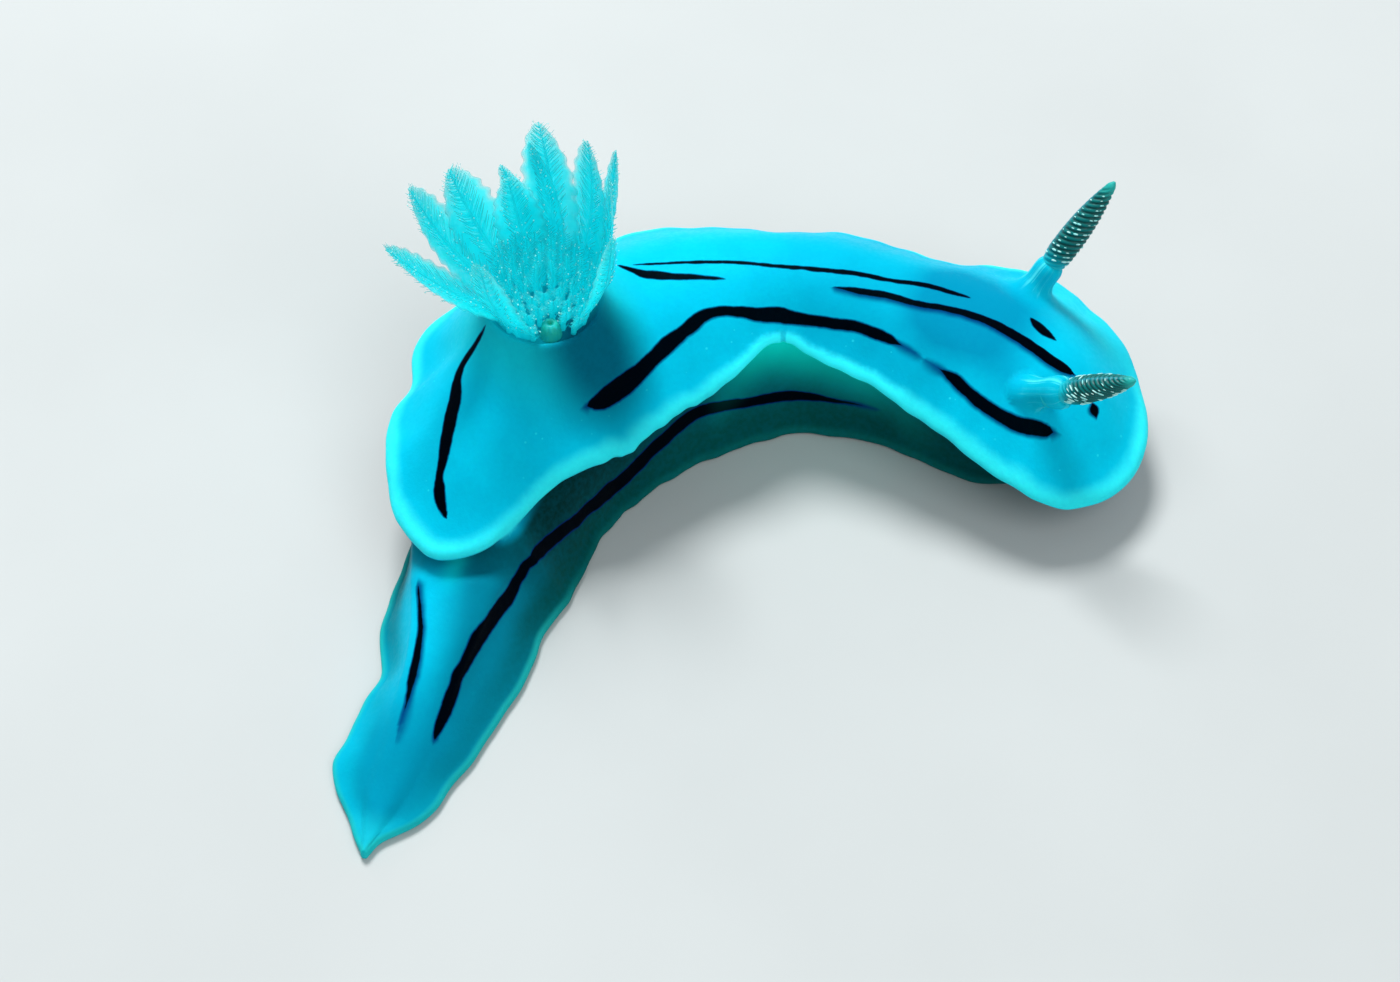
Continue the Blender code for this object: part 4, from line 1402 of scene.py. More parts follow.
    def blades(self) -> Shell:
        """Flat cupped ellipses that fill the tall plumes out to the pinnules, their edges waved."""
        count, sides = self.blade_mesh
        share = np.broadcast_to(np.linspace(0, 1, count), (len(self.tall), count))
        path, outward = self.spines(self.tall, share)
        longest = np.array([leaf.longest for leaf in self.tall])[:, None]
        wave = 1 + 0.07 * np.sin(52 * share + 5 * longest) * ease(share, 0.1, 0.3)
        wide = self.blade[0] * longest * self.swell(share) * wave * np.sqrt(1.01 - share**8)
        side = np.cross(unit(np.gradient(path, axis=1)), outward)
        thick = np.broadcast_to(self.blade[1] * (1.05 - share), wide.shape)
        rings = carried_rings(path, side, wide, thick, sides)
        off_spine = np.linalg.norm(rings - path[:, :, None], axis=-1) / np.maximum(wide[..., None], 1e-6)
        rings = rings - (self.cup * wide[..., None] * off_spine**2)[..., None] * outward[:, :, None]
        return tube_shells(rings, {"tip": np.maximum(off_spine**3, share[..., None] ** 3)})

    def pinnules(
        self, leaves: Sequence[GillPlume], steps: int, draw: np.random.Generator
    ) -> tuple[Shell, Array, Array]:
        """The pinnules: flattened tapering tubes that leave the spine in rows and bend up along it.

        Args:
            leaves: What they grow on.
            steps: How many are in a row.
            draw: Where the unevenness comes from.

        Returns:
            The pinnules; their centre lines, of shape (pinnules, rings, 3); and the way up the spine
            at each.
        """
        shape = (len(leaves), steps, len(self.rows))
        step = (np.arange(steps)[:, None] + 0.5 * (np.arange(len(self.rows)) % 2) + 0.25) / steps
        share = np.broadcast_to(0.04 + 0.93 * step, shape) + draw.uniform(-0.008, 0.008, shape)
        share = np.minimum(share, 0.985)
        root, outward = self.spines(leaves, share)
        way = unit(self.spines(leaves, np.minimum(share + 0.02, 1))[0] - self.spines(leaves, share - 0.02)[0])
        side = unit(np.cross(way, outward))
        inward = np.cross(way, side)
        turns, lengths = np.transpose(self.rows)
        turn = np.radians(turns)[:, None] + draw.uniform(-0.16, 0.16, shape)[..., None]
        aim = np.cos(turn) * side + np.sin(turn) * inward
        aim = unit(aim + way * draw.uniform(0.8, 1.1, shape)[..., None])
        longest = np.array([leaf.longest for leaf in leaves])[:, None, None]
        length = longest * self.swell(share) * lengths
        length = length * draw.uniform(0.82, 0.98, shape) * np.sqrt(1.05 - share**8)
        count, sides = self.pinnule_mesh
        t = np.linspace(0, 1, count)[:, None]
        curl = aim[..., None, :] * t + 0.24 * way[..., None, :] * t**2
        curl = curl + 0.05 * side[..., None, :] * np.sin(4 * t)
        path = (root[..., None, :] + length[..., None, None] * curl).reshape(-1, count, 3)
        taper = self.pinnule[0] + (self.pinnule[1] - self.pinnule[0]) * t[:, 0] ** 1.5
        wide = np.broadcast_to(taper, path.shape[:2]) * (1 - 0.35 * share.reshape(-1, 1))
        along = np.broadcast_to(way[..., None, :].reshape(-1, 1, 3), path.shape)
        rings = carried_rings(path, along, wide, wide * self.flatness, sides)
        tip = np.broadcast_to(t[:, 0], path.shape[:2])
        shell = tube_shells(rings, {"tip": np.repeat(tip[..., None], sides, -1)})
        return shell, path, way.reshape(-1, 3)

    def build(self) -> list[bpy.types.Object]:
        """The blades, the pinnules, the tufts and the white grains, each as one piece.

        Returns:
            The pieces, the grains last.
        """
        draw = np.random.default_rng(self.seed)
        pinnules, path, way = self.pinnules(self.tall, self.steps[0], draw)
        fluff, fluff_path, fluff_way = self.pinnules(self.tufts, self.steps[1], draw)
        weight = np.repeat([1.0, self.tuft_grains], [len(path), len(fluff_path)])
        path, way = np.concatenate([path, fluff_path]), np.concatenate([way, fluff_way])
        chosen = draw.choice(len(path), self.grains, replace=False, p=weight / weight.sum())
        ring = draw.integers(1, self.pinnule_mesh[0], self.grains)
        centre = path[chosen, ring] + draw.normal(size=(self.grains, 3)) * 0.03
        size = draw.uniform(*self.grain, self.grains)
        grains = grain_shells(centre, way[chosen], np.cross(way[chosen], [0.3, 0.9, 0.1]), size, size)
        pieces = {
            "gill_blades": Shell.joined([self.stems(self.tall), self.blades()]),
            "gill_pinnules": pinnules,
            "gill_tufts": Shell.joined([self.stems(self.tufts), fluff]),
            "gill_grains": grains,
        }
        return [shell.piece(name) for name, shell in pieces.items()]


def grain_shells(centre: Array, along: Array, across: Array, length: Array, thick: Array) -> Shell:
    """Small closed grains: circles carried along a short way, their radius the root of 1 - s squared.

    Args:
        centre: The grains' middles.
        along: The way each is drawn out.
        across: A way across it.
        length: Half length of each.
        thick: Half thickness of each.

    Returns:
        The grains.
    """
    s = np.array([-0.94, -0.6, 0.0, 0.6, 0.94])
    path = centre[:, None] + unit(along)[:, None] * (length[:, None] * s)[..., None]
    radius = thick[:, None] * np.sqrt(1 - s**2)
    sideways = np.broadcast_to(across[:, None], path.shape)
    return tube_shells(carried_rings(path, sideways, radius, radius, 6))


@dataclass(frozen=True)
class Papilla:
    """The short open tube in the gap of the gill's ring."""

    midline: Midline
    collar: Collar
    azimuth: float = 282.0
    ring_radius: float = 1.45
    profile: tuple[Row, ...] = (
        (0.46, -0.55), (0.43, -0.30), (0.38, -0.05), (0.34, 0.15), (0.31, 0.26), (0.25, 0.34), (0.17, 0.37),
        (0.12, 0.36), (0.07, 0.33), (0.04, 0.29),
    )
    frills: int = 9
    sides: int = 54

    def build(self) -> bpy.types.Object:
        """Circles of the profile's radii, their radius waved by the frills near the mouth."""
        angle = math.radians(self.azimuth)
        floor = self.collar.top - self.collar.pocket_depth + 0.3
        centre = self.midline.place(self.collar.along, self.collar.across, floor)
        centre = centre + self.ring_radius * np.array([math.cos(angle), math.sin(angle), 0.0])
        steps = np.arange(len(self.profile))
        radius, height = through(np.linspace(0, steps[-1], 46), np.column_stack([steps, self.profile])).T
        turn = circle(self.sides)
        wave = 1 + 0.06 * np.cos(self.frills * turn) * ease(height, -0.1, 0.28)[:, None]
        flat = radius[:, None] * wave
        level = np.tile(height[:, None], self.sides)
        rings = centre + np.stack([flat * np.cos(turn), flat * np.sin(turn), level], -1)
        inner = np.tile(ease(-radius, -0.18, -0.08)[:, None] * (height > 0.0)[:, None], self.sides)
        return tube_shells(rings[None], {"mouth": inner[None]}).piece("papilla")


@dataclass(frozen=True)
class Rhinophore:
    """A rhinophore: a smooth stalk and a club ringed by slanted lamellae, with white grains on them.

    Attributes:
        side: left or right.
        sheath: Where its axis leaves the mantle and the way it points.
        length: From its foot to its tip.
        rise: How far its foot is from the mantle, along the axis.
        plump: How much thicker it is than its profile.
        lamellae: How many.
        slant: How far the lamellae run down towards the front, in lamellae; under 0 they run up.
        keel: Half width, in radians, of the smooth strip up the back.
        around: White grains round one lamella.
        grain: Half length and half thickness of a white grain.
        sunk: How far the stalk starts below the foot.
        stalk_share: Where the club begins, as a share of the length.
        club: Share up the club and radius there.
        ringed: Share of the club that the lamellae take up.
        depth: How deep the grooves between the lamellae are.
    """

    midline: Midline
    mantle: Mantle
    side: str
    sheath: Sheath
    length: float
    rise: float
    plump: float
    lamellae: int
    slant: float
    keel: float
    around: int
    grain: Row
    sunk: float = 0.75
    stalk_share: float = 0.14
    stalk: tuple[Row, ...] = ((0.0, 0.40), (0.5, 0.385), (1.0, 0.385))
    club: tuple[Row, ...] = (
        (0.0, 0.38), (0.08, 0.44), (0.25, 0.462), (0.45, 0.44), (0.62, 0.38), (0.78, 0.29), (0.90, 0.20),
        (0.96, 0.14), (1.0, 0.05),
    )
    ringed: float = 0.93
    depth: float = 0.055
    rings: int = 300
    sides: int = 44
    seed: int = 5

    def frame(self) -> tuple[Array, Array, Array, Array]:
        """The foot of the club, the axis, the way forward and the way to the side."""
        axis = self.sheath.axis
        foot = self.mantle.sheath_foot(self.sheath) + axis * self.rise
        forward = np.append(self.midline.forward(np.array(self.sheath.along)), 0.0)
        front = unit(forward - axis * (forward @ axis))
        return foot, axis, front, np.cross(axis, front)

    def radius(self, rise: Array) -> Array:
        """Radius without lamellae at a height above the club's foot."""
        stalk_top = self.stalk_share * self.length
        low = through(ease_linear(rise, -self.sunk, stalk_top), self.stalk)[..., 0]
        high = through(ease_linear(rise, stalk_top, self.length), self.club)[..., 0]
        return self.plump * np.where(rise < stalk_top, low, high)

    def build(self) -> list[bpy.types.Object]:
        """The club and stalk: radius(rise) less grooves that run round it, and the grains on the crests.

        Returns:
            The club and its grains.
        """
        foot, axis, front, beside = self.frame()
        base = self.stalk_share * self.length
        rise = np.linspace(-self.sunk, self.length, self.rings)[:, None]
        turn = circle(self.sides)[None]
        up = ease_linear(rise, base, self.length)
        phase = self.lamellae * up / self.ringed + self.slant * np.cos(turn)
        crest = (0.5 - 0.5 * np.cos(2 * math.pi * phase)) ** 0.7
        grooved = ease(rise, base - 0.05, base + 0.12) * ease(-up, -0.97, -0.86)
        strip = np.exp(-((turn - math.pi) ** 4) / self.keel**4)
        radius = self.radius(rise) - self.depth * (1 - crest) * grooved * (1 - 0.85 * strip)
        flat = np.cos(turn)[..., None] * front + np.sin(turn)[..., None] * beside
        rings = foot + rise[..., None] * axis + radius[..., None] * flat
        club = np.broadcast_to(ease(rise, base - 0.2, base + 0.8), radius.shape)
        marks = {
            "club": club,
            "crest": crest * grooved,
            "tip": np.broadcast_to(ease(up, 0.8, 0.97), radius.shape),
            "keel": np.broadcast_to(strip, radius.shape),
        }
        shell = tube_shells(rings[None], {name: values[None] for name, values in marks.items()})
        club_piece = shell.piece(f"rhinophore_{self.side}_club")
        return [club_piece, self._grains(foot, axis, front, beside, base)]

    def _grains(self, foot: Array, axis: Array, front: Array, beside: Array, base: float) -> bpy.types.Object:
        """White grains drawn out along the lamellae, unevenly spaced, with some left out."""
        draw = np.random.default_rng(self.seed)
        row, place = np.meshgrid(np.arange(self.lamellae - 1), np.arange(self.around), indexing="ij")
        shape = row.shape
        turn = 2 * math.pi * (place + 0.5 * (row % 2) + draw.uniform(-0.36, 0.36, shape)) / self.around
        up = (row + 0.5 - self.slant * np.cos(turn)) * self.ringed / self.lamellae
        kept = (draw.uniform(size=shape) < 0.76) & (up > 0.05) & (up < 0.86)
        kept &= np.abs(turn % (2 * math.pi) - math.pi) > self.keel * 0.8
        turn, up = turn[kept], up[kept]
        rise = base + up * (self.length - base)
        flat = np.cos(turn)[:, None] * front + np.sin(turn)[:, None] * beside
        round_it = np.cos(turn)[:, None] * beside - np.sin(turn)[:, None] * front
        lean = self.slant * self.ringed / self.lamellae * (self.length - base) * np.sin(turn)
        radius = self.radius(rise)
        along = unit(round_it * radius[:, None] + axis * lean[:, None])
        centre = foot + rise[:, None] * axis + (radius - 0.012)[:, None] * flat
        size = draw.uniform(0.55, 1.2, len(turn)) * (1 - 0.4 * up)
        length, thick = (part * size for part in self.grain)
        shell = grain_shells(centre, along, np.broadcast_to(axis, along.shape), length, thick)
        return shell.piece(f"rhinophore_{self.side}_grains")


def ease_linear(values: Array | float, low: float, high: float) -> Array:
    """Rise evenly from 0 at low to 1 at high."""
    return np.clip((np.asarray(values, float) - low) / (high - low), 0, 1)


def linear(colour: Row) -> tuple[float, float, float, float]:
    """A shader colour from red, green and blue between 0 and 255 as a picture shows them."""
    part = np.asarray(colour, float) / 255
    light = np.where(part <= 0.04045, part / 12.92, ((part + 0.055) / 1.055) ** 2.4)
    return (*light.tolist(), 1.0)


class Graph:
    """A shader node tree, with short ways to add nodes to it."""

    def __init__(self, tree: NodeTree) -> None:
        """Work on a node tree."""
        self.tree = tree

    @classmethod
    def of_material(cls, name: str) -> tuple["Graph", bpy.types.Node]:
        """A new material's graph and its Principled BSDF."""
        look = bpy.data.materials.new(name)
        look.use_nodes = True
        return cls(look.node_tree), look.node_tree.nodes["Principled BSDF"]

    @classmethod
    def of_group(cls, name: str, inputs: dict[str, float | None], outputs: Sequence[str]) -> "Graph":
        """A new node group's graph.

        Args:
            name: The group's name.
            inputs: Name and first value of each input; None makes a vector input.
            outputs: Names of the value outputs.

        Returns:
            The graph, with its Group Input and Group Output nodes made.
        """
        tree = bpy.data.node_groups.new(name, "ShaderNodeTree")
        for title, value in inputs.items():
            kind = "NodeSocketVector" if value is None else "NodeSocketFloat"
            socket = tree.interface.new_socket(name=title, in_out="INPUT", socket_type=kind)
            if value is not None:
                socket.default_value = value
        for title in outputs:
            tree.interface.new_socket(name=title, in_out="OUTPUT", socket_type="NodeSocketFloat")
        made = cls(tree)
        made.start, made.end = made.add("NodeGroupInput"), made.add("NodeGroupOutput")
        return made

    def add(self, kind: str, **settings: object) -> bpy.types.Node:
        """A new node with its settings."""
        node = self.tree.nodes.new(kind)
        for name, value in settings.items():
            setattr(node, name, value)
        return node

    def wire(self, socket: Socket, value: object) -> None:
        """Link a socket to another or to the mark of a name, or set its value."""
        value = self.mark(value) if isinstance(value, str) else value
        if isinstance(value, Socket):
            self.tree.links.new(value, socket)
        else:
            socket.default_value = value

    def math(self, operation: str, *values: object) -> Socket:
        """A Math node's result."""
        node = self.add("ShaderNodeMath", operation=operation)
        for socket, value in zip(node.inputs, values):
            self.wire(socket, value)
        return node.outputs[0]

    def times(self, first: object, *others: object) -> Socket:
        """The product of values."""
        for other in others:
            first = self.math("MULTIPLY", first, other)
        return first

    def mix(self, share: object, first: object, second: object) -> Socket:
        """A colour between two, each a socket or a picture's red, green and blue."""
        node = self.add("ShaderNodeMix", data_type="RGBA")
        for socket, value in zip((node.inputs[0], node.inputs[6], node.inputs[7]), (share, first, second)):
            self.wire(socket, linear(value) if isinstance(value, tuple) else value)
        return node.outputs[2]

    def smooth(self, value: object, low: object, high: object, start: float = 0, end: float = 1) -> Socket:
        """A value that runs smoothly from start at low to end at high."""
        node = self.add("ShaderNodeMapRange", interpolation_type="SMOOTHSTEP")
        for socket, given in zip(node.inputs, (value, low, high, start, end)):
            self.wire(socket, given)
        return node.outputs[0]

    def mark(self, name: str) -> Socket:
        """A point attribute's value."""
        return self.add("ShaderNodeAttribute", attribute_name=name).outputs["Fac"]

    def millimetres(self) -> Socket:
        """Object coordinates in millimetres."""
        node = self.add("ShaderNodeVectorMath", operation="SCALE")
        self.wire(node.inputs[0], self.add("ShaderNodeTexCoord").outputs["Object"])
        self.wire(node.inputs["Scale"], 1 / MM)
        return node.outputs[0]

    def noise(self, place: object, scale: object, detail: float = 2.0) -> Socket:
        """Noise between about 0.2 and 0.8."""
        node = self.add("ShaderNodeTexNoise")
        self.wire(node.inputs["Vector"], place)
        self.wire(node.inputs["Scale"], scale)
        self.wire(node.inputs["Detail"], detail)
        return node.outputs[0]

    def group(self, tree: NodeTree, **inputs: object) -> bpy.types.Node:
        """A node group placed with its own values."""
        node = self.add("ShaderNodeGroup", node_tree=tree)
        for name, value in inputs.items():
            self.wire(node.inputs[name], value)
        return node

    def bump(self, height: object, strength: float = 1.0) -> Socket:
        """The normal of a surface raised by a height in millimetres."""
        node = self.add("ShaderNodeBump")
        self.wire(node.inputs["Strength"], strength)
        self.wire(node.inputs["Distance"], MM)
        self.wire(node.inputs["Height"], height)
        return node.outputs[0]


@dataclass
class Effects:
    """The effects that several finishes share, each a node group built once."""

    fine_bumps: NodeTree
    mottling: NodeTree
    flecks: NodeTree
    dark_line: NodeTree

    @staticmethod
    def build() -> "Effects":
        """Build every group."""
        return Effects(Effects._bumps(), Effects._mottling(), Effects._flecks(), Effects._dark_line())

    @staticmethod
    def _bumps() -> NodeTree:
        """Height of a soft skin's fine grain and of its broader unevenness."""
        inputs = {"Place": None, "Grain": 6.0, "Grain Height": 0.01, "Fold": 0.8, "Fold Height": 0.05}
        made = Graph.of_group("fine_bumps", inputs, ["Height"])
        ends = made.start.outputs
        grain = made.times(made.noise(ends["Place"], ends["Grain"], 3.0), ends["Grain Height"])
        fold = made.times(made.noise(ends["Place"], ends["Fold"], 1.0), ends["Fold Height"])
        made.wire(made.end.inputs["Height"], made.math("ADD", grain, fold))
        return made.tree

    @staticmethod
    def _mottling() -> NodeTree:
        """A soft uneven mask: noise stretched between two limits."""
        made = Graph.of_group("mottling", {"Place": None, "Scale": 1.0, "Low": 0.35, "High": 0.65}, ["Mask"])
        ends = made.start.outputs
        noise = made.noise(ends["Place"], ends["Scale"], 4.0)
        made.wire(made.end.inputs["Mask"], made.smooth(noise, ends["Low"], ends["High"]))
        return made.tree

    @staticmethod
    def _flecks() -> NodeTree:
        """A mask of small round flecks: cells whose random value is under Amount, near their middle."""
        made = Graph.of_group("flecks", {"Place": None, "Scale": 3.0, "Size": 0.25, "Amount": 0.4}, ["Mask"])
        ends = made.start.outputs
        cell = made.add("ShaderNodeTexVoronoi")
        made.wire(cell.inputs["Vector"], ends["Place"])
        made.wire(cell.inputs["Scale"], ends["Scale"])
        apart = made.add("ShaderNodeSeparateColor")
        made.wire(apart.inputs[0], cell.outputs["Color"])
        chosen = made.math("LESS_THAN", apart.outputs[0], ends["Amount"])
        size = made.times(ends["Size"], made.math("ADD", 0.4, apart.outputs[1]))
        near = made.smooth(cell.outputs["Distance"], size, made.times(size, 0.5))
        made.wire(made.end.inputs["Mask"], made.times(chosen, near))
        return made.tree

    @staticmethod
    def _dark_line() -> NodeTree:
        """Masks of a dark line and of its soft blue edge, from the distance across it."""
        inputs = {"Place": None, "Off": 9.0, "Half": -1.0, "Glow": 0.07, "Ragged": 0.1}
        made = Graph.of_group("dark_line", inputs, ["Core", "Edge"])
        ends = made.start.outputs
        uneven = made.math("SUBTRACT", made.noise(ends["Place"], 2.2, 5.0), 0.5)
        off = made.math("ADD", made.math("ABSOLUTE", ends["Off"]), made.times(uneven, ends["Ragged"]))
        past = made.math("SUBTRACT", off, ends["Half"])
        made.wire(made.end.inputs["Core"], made.smooth(past, 0.02, -0.025))
        made.wire(made.end.inputs["Edge"], made.smooth(past, ends["Glow"], 0.0))
        return made.tree


@dataclass(frozen=True)
class Finish:
    """What the finishes of flesh share: uneven colour, fine bumps and light that runs under the surface.

    Attributes:
        name: The material's name.
        spots: Scale of the unevenness.
        rough: Lowest and highest roughness.
        bumps: Scale, height and strength of the fine bumps, and height of the broad ones.
        gleam: Specular level, low as on wet flesh seen through water.
        depth: Weight of the light under the surface, and how far it runs in millimetres.
    """

    name: str
    spots: float
    rough: Row
    bumps: Row
    gleam: float
    depth: Row

    def build(self, effects: Effects) -> bpy.types.Material:
        """The material.

        Args:
            effects: The shared effects.

        Returns:
            The material.
        """
        graph, shader = Graph.of_material(self.name)
        place = graph.millimetres()
        uneven = graph.group(effects.mottling, Place=place, Scale=self.spots, Low=0.3, High=0.7).outputs[0]
        graph.wire(shader.inputs["Base Color"], self.colour(graph, place, uneven, effects))
        graph.wire(shader.inputs["Roughness"], graph.smooth(uneven, 0, 1, *self.rough))
        grain, height, strength, broad = self.bumps
        heights = {"Grain Height": height, "Fold Height": broad}
        bumps = graph.group(effects.fine_bumps, Place=place, Grain=grain, **heights)
        graph.wire(shader.inputs["Normal"], graph.bump(bumps.outputs[0], strength))
        shader.inputs["Specular IOR Level"].default_value = self.gleam
        shader.inputs["Subsurface Weight"].default_value = self.depth[0]
        shader.inputs["Subsurface Radius"].default_value = (0.25, 0.8, 1.0)
        shader.inputs["Subsurface Scale"].default_value = self.depth[1] * MM
        self.thin(graph, shader, uneven)
        return bpy.data.materials[self.name]

    def colour(self, graph: Graph, place: object, uneven: object, effects: Effects) -> Socket:
        """The finish's colour.

        Args:
            graph: The material's graph.
            place: Object coordinates in millimetres.
            uneven: The uneven mask.
            effects: The shared effects.

        Returns:
            The colour's socket.
        """
        raise NotImplementedError

    def thin(self, graph: Graph, shader: bpy.types.Node, uneven: object) -> None:
        """Link what thin flesh adds, a painted glow that stands in for light let through, and clear ends;
        most flesh adds nothing.
        """


@dataclass(frozen=True)
class SkinFinish(Finish):
    """The skin's finish: blue field, pale margin, painted shade on the flanks and under the skirt,
    painted light and shade on the tail, painted glow at the fold, dark lines and streaked sheaths.

    Attributes:
        fold: Colour of a painted glow where the skirt is raised, standing in for light through the skirt;
            it is painted on the flank under the fold and, with the tail's top under the rear tip, given as
            emission.
        fold_painted_glow: Strength of that painted glow's emission.
        nick: Along of the nick at the top of the fold, and half width of the gap in the pale margin.
        tint: Colour of its gleam.
    """

    name: str = "nudibranch_skin"
    spots: float = 5.0
    rough: Row = (0.42, 0.55)
    bumps: Row = (7.0, 0.014, 0.7, 0.05)
    gleam: float = 0.03
    depth: Row = (0.35, 0.35)
    # fold: colour of the painted glow for light through the raised skirt
    fold: Row = (2, 198, 186)
    fold_painted_glow: float = 0.58
    nick: Row = (30.95, 0.22)
    tint: Row = (30, 220, 255)
    lit: Row = (4, 205, 237)
    deep: Row = (2, 148, 186)
    margin: Row = (48, 240, 252)
    inner_band: Row = (4, 178, 212)
    # flank: darker than the animal's own blue, partly painted shade under the mantle
    flank: Row = (3, 98, 104)
    # underside: painted shade on the wall close under the skirt's margin
    underside: Row = (4, 50, 50)
    # painted light and shade of the tail: its lit left side, a half-shaded middle, its shaded right side and
    # a tip painted paler
    tail_light: Row = (3, 202, 236)
    tail_half_shade: Row = (2, 142, 174)
    tail_shade: Row = (3, 132, 158)
    tail_tip: Row = (30, 222, 242)
    foot_edge: Row = (40, 204, 196)
    # foot: painted shade low on the wall by the floor
    foot: Row = (3, 76, 70)
    line: Row = (0, 1, 8)
    line_edge: Row = (0, 30, 112)
    sheath: Row = (8, 192, 218)
    streak: Row = (96, 244, 250)
    collar: Row = (20, 196, 202)
    # shade: colour of the painted shadow that the gill casts on the mantle
    shade: Row = (0, 84, 112)

    def colour(self, graph: Graph, place: object, uneven: object, effects: Effects) -> Socket:
        """The top's and the underside's colours, and the dark lines over both."""
        mottle = graph.group(effects.mottling, Place=place, Scale=0.55, Low=0.3, High=0.7).outputs[0]
        colour = graph.mix("back", self._below(graph, mottle), self._above(graph, mottle, place, effects))
        colour = graph.mix(graph.times(uneven, 0.07), colour, self.deep)
        for layer in (1, 2, 3):
            marks = {"Off": "line_off", "Half": "line_half", "Glow": "line_glow"}
            given = {name: graph.mark(f"{mark}_{layer}") for name, mark in marks.items()}
            line = graph.group(effects.dark_line, Place=place, **given)
            edge = graph.times(line.outputs["Edge"], 0.85)
            colour = graph.mix(line.outputs["Core"], graph.mix(edge, colour, self.line_edge), self.line)
        return colour

    def thin(self, graph: Graph, shader: bpy.types.Node, uneven: object) -> None:
        """Paint a glow (emission) on the raised fold, on its pale margin and on the tail's top under the rear
        tip, standing in for light through the thin skirt, and tint the gleam.
        """
        below = graph.smooth("back", 0.6, 0.2)
        along = graph.mark("along")
        top = graph.smooth("foot", 2.4, 3.2)
        top = graph.times(top, graph.smooth("right", 1.2, 0.3))
        # painted glow on the tail's top just under the mantle's rear tip
        rear = graph.times(graph.smooth(along, 9.8, 10.8, 0, 0.45), graph.smooth(along, 13.0, 11.8), top)
        light = graph.math("MAXIMUM", graph.math("POWER", self._fold(graph), 1.5), rear)
        light = graph.times(light, below)
        light = graph.mix(light, (0, 0, 0), self.fold)
        # painted glow on the pale margin at the top of the fold
        edge = graph.times(self._fold(graph), self._pale(graph, uneven, 1.4, 0.6, 0.45))
        edge = graph.times(edge, graph.math("SUBTRACT", 1.0, below))
        # the emission is painted light: the glow of the fold, of its margin and of the rear tip
        graph.wire(shader.inputs["Emission Color"], graph.mix(edge, light, self.margin))
        shader.inputs["Emission Strength"].default_value = self.fold_painted_glow
        shader.inputs["Specular Tint"].default_value = linear(self.tint)

    def _fold(self, graph: Graph) -> Socket:
        """1 at the raised fold's margin, falling to 0 down the flank below it."""
        along = graph.mark("along")
        window = graph.times(graph.smooth(along, 26.4, 29.6), graph.smooth(along, 39.0, 34.0))
        window = graph.times(window, graph.smooth("right", 0.2, 1.4))
        return graph.times(window, graph.smooth("rim", 7.5, 0.5, 0, 0.97))

    def _pale(self, graph: Graph, mottle: object, start: float, end: float, most: float) -> Socket:
        """How pale the margin is: most at the end distance from it, 0 at the start one and at the nick."""
        off = graph.math("ABSOLUTE", graph.math("SUBTRACT", "along", self.nick[0]))
        right = graph.smooth("right", 0.2, 1.4)
        gap = graph.times(graph.smooth(off, self.nick[1], 0.4 * self.nick[1], 0, 0.55), right)
        uneven = graph.math("ADD", "rim", graph.times(mottle, 0.25))
        pale = graph.smooth(uneven, start, end, 0, most)
        return graph.times(pale, graph.math("SUBTRACT", 1.0, gap))

    def _above(self, graph: Graph, mottle: object, place: object, effects: Effects) -> Socket:
        """Colour of the mantle's top: the field, the band inside the margin, the margin, the raised parts,
        the painted shadow of the gill and painted light inside the far head margin.
        """
        along = graph.mark("along")
        head = graph.times(graph.smooth(along, 35.0, 37.5), graph.smooth(along, 42.0, 39.5))
        hollow = graph.times(graph.smooth("inward", 0.34, 0.74), head)
        shade = graph.math("ADD", graph.times(hollow, 0.95), graph.times(mottle, 0.16))
        waist = graph.times(graph.smooth(along, 28.0, 34.0, 0, 0.35), graph.smooth(along, 40.0, 37.0))
        field = graph.mix(graph.math("ADD", shade, waist), self.lit, self.deep)
        rim = graph.mark("rim")
        # painted light: on the far side of the head the pale is evened to 0.45 over a wider band, lifting the
        # shaded crease inside the margin
        far = graph.times(graph.smooth("right", -1.0, -3.0), graph.smooth(along, 38.5, 41.0))
        far = graph.times(far, graph.smooth(rim, 3.4, 2.0))
        pale = self._pale(graph, mottle, 1.35, 0.55, 1.0)
        pale = graph.times(pale, graph.math("SUBTRACT", 1.0, far))
        pale = graph.math("ADD", pale, graph.times(far, 0.45))
        field = graph.mix(pale, field, self.margin)
        speckle = graph.group(effects.flecks, Place=place, Scale=2.8, Size=0.15, Amount=0.45).outputs[0]
        skirt = graph.times(graph.smooth(rim, 1.2, 1.8), graph.smooth(rim, 3.8, 2.8))
        speckle = graph.times(speckle, skirt, 0.5)
        field = graph.mix(speckle, field, self.margin)
        field = graph.mix(graph.times("collar", 0.7), field, self.collar)
        # painted shadow of the gill over the mantle in front of it
        field = graph.mix(graph.times("gill_shade", 0.9), field, self.shade)
        return self._sheaths(graph, field)

    def _sheaths(self, graph: Graph, field: object) -> Socket:
        """Colour of the sheaths over the field: paler, with whitish streaks that run up them."""
        up = graph.mark("sheath")
        gather = graph.add("ShaderNodeCombineXYZ")
        for socket, name in zip(gather.inputs, ("sheath_u", "sheath_v", "sheath")):
            graph.wire(socket, graph.times(graph.mark(name), 0.35 if name == "sheath" else 2.4))
        streak = graph.smooth(graph.noise(gather.outputs[0], 1.6, 3.0), 0.5, 0.68)
        colour = graph.mix(graph.times(streak, 0.75), self.sheath, self.streak)
        return graph.mix(graph.times(up, 0.85), field, colour)

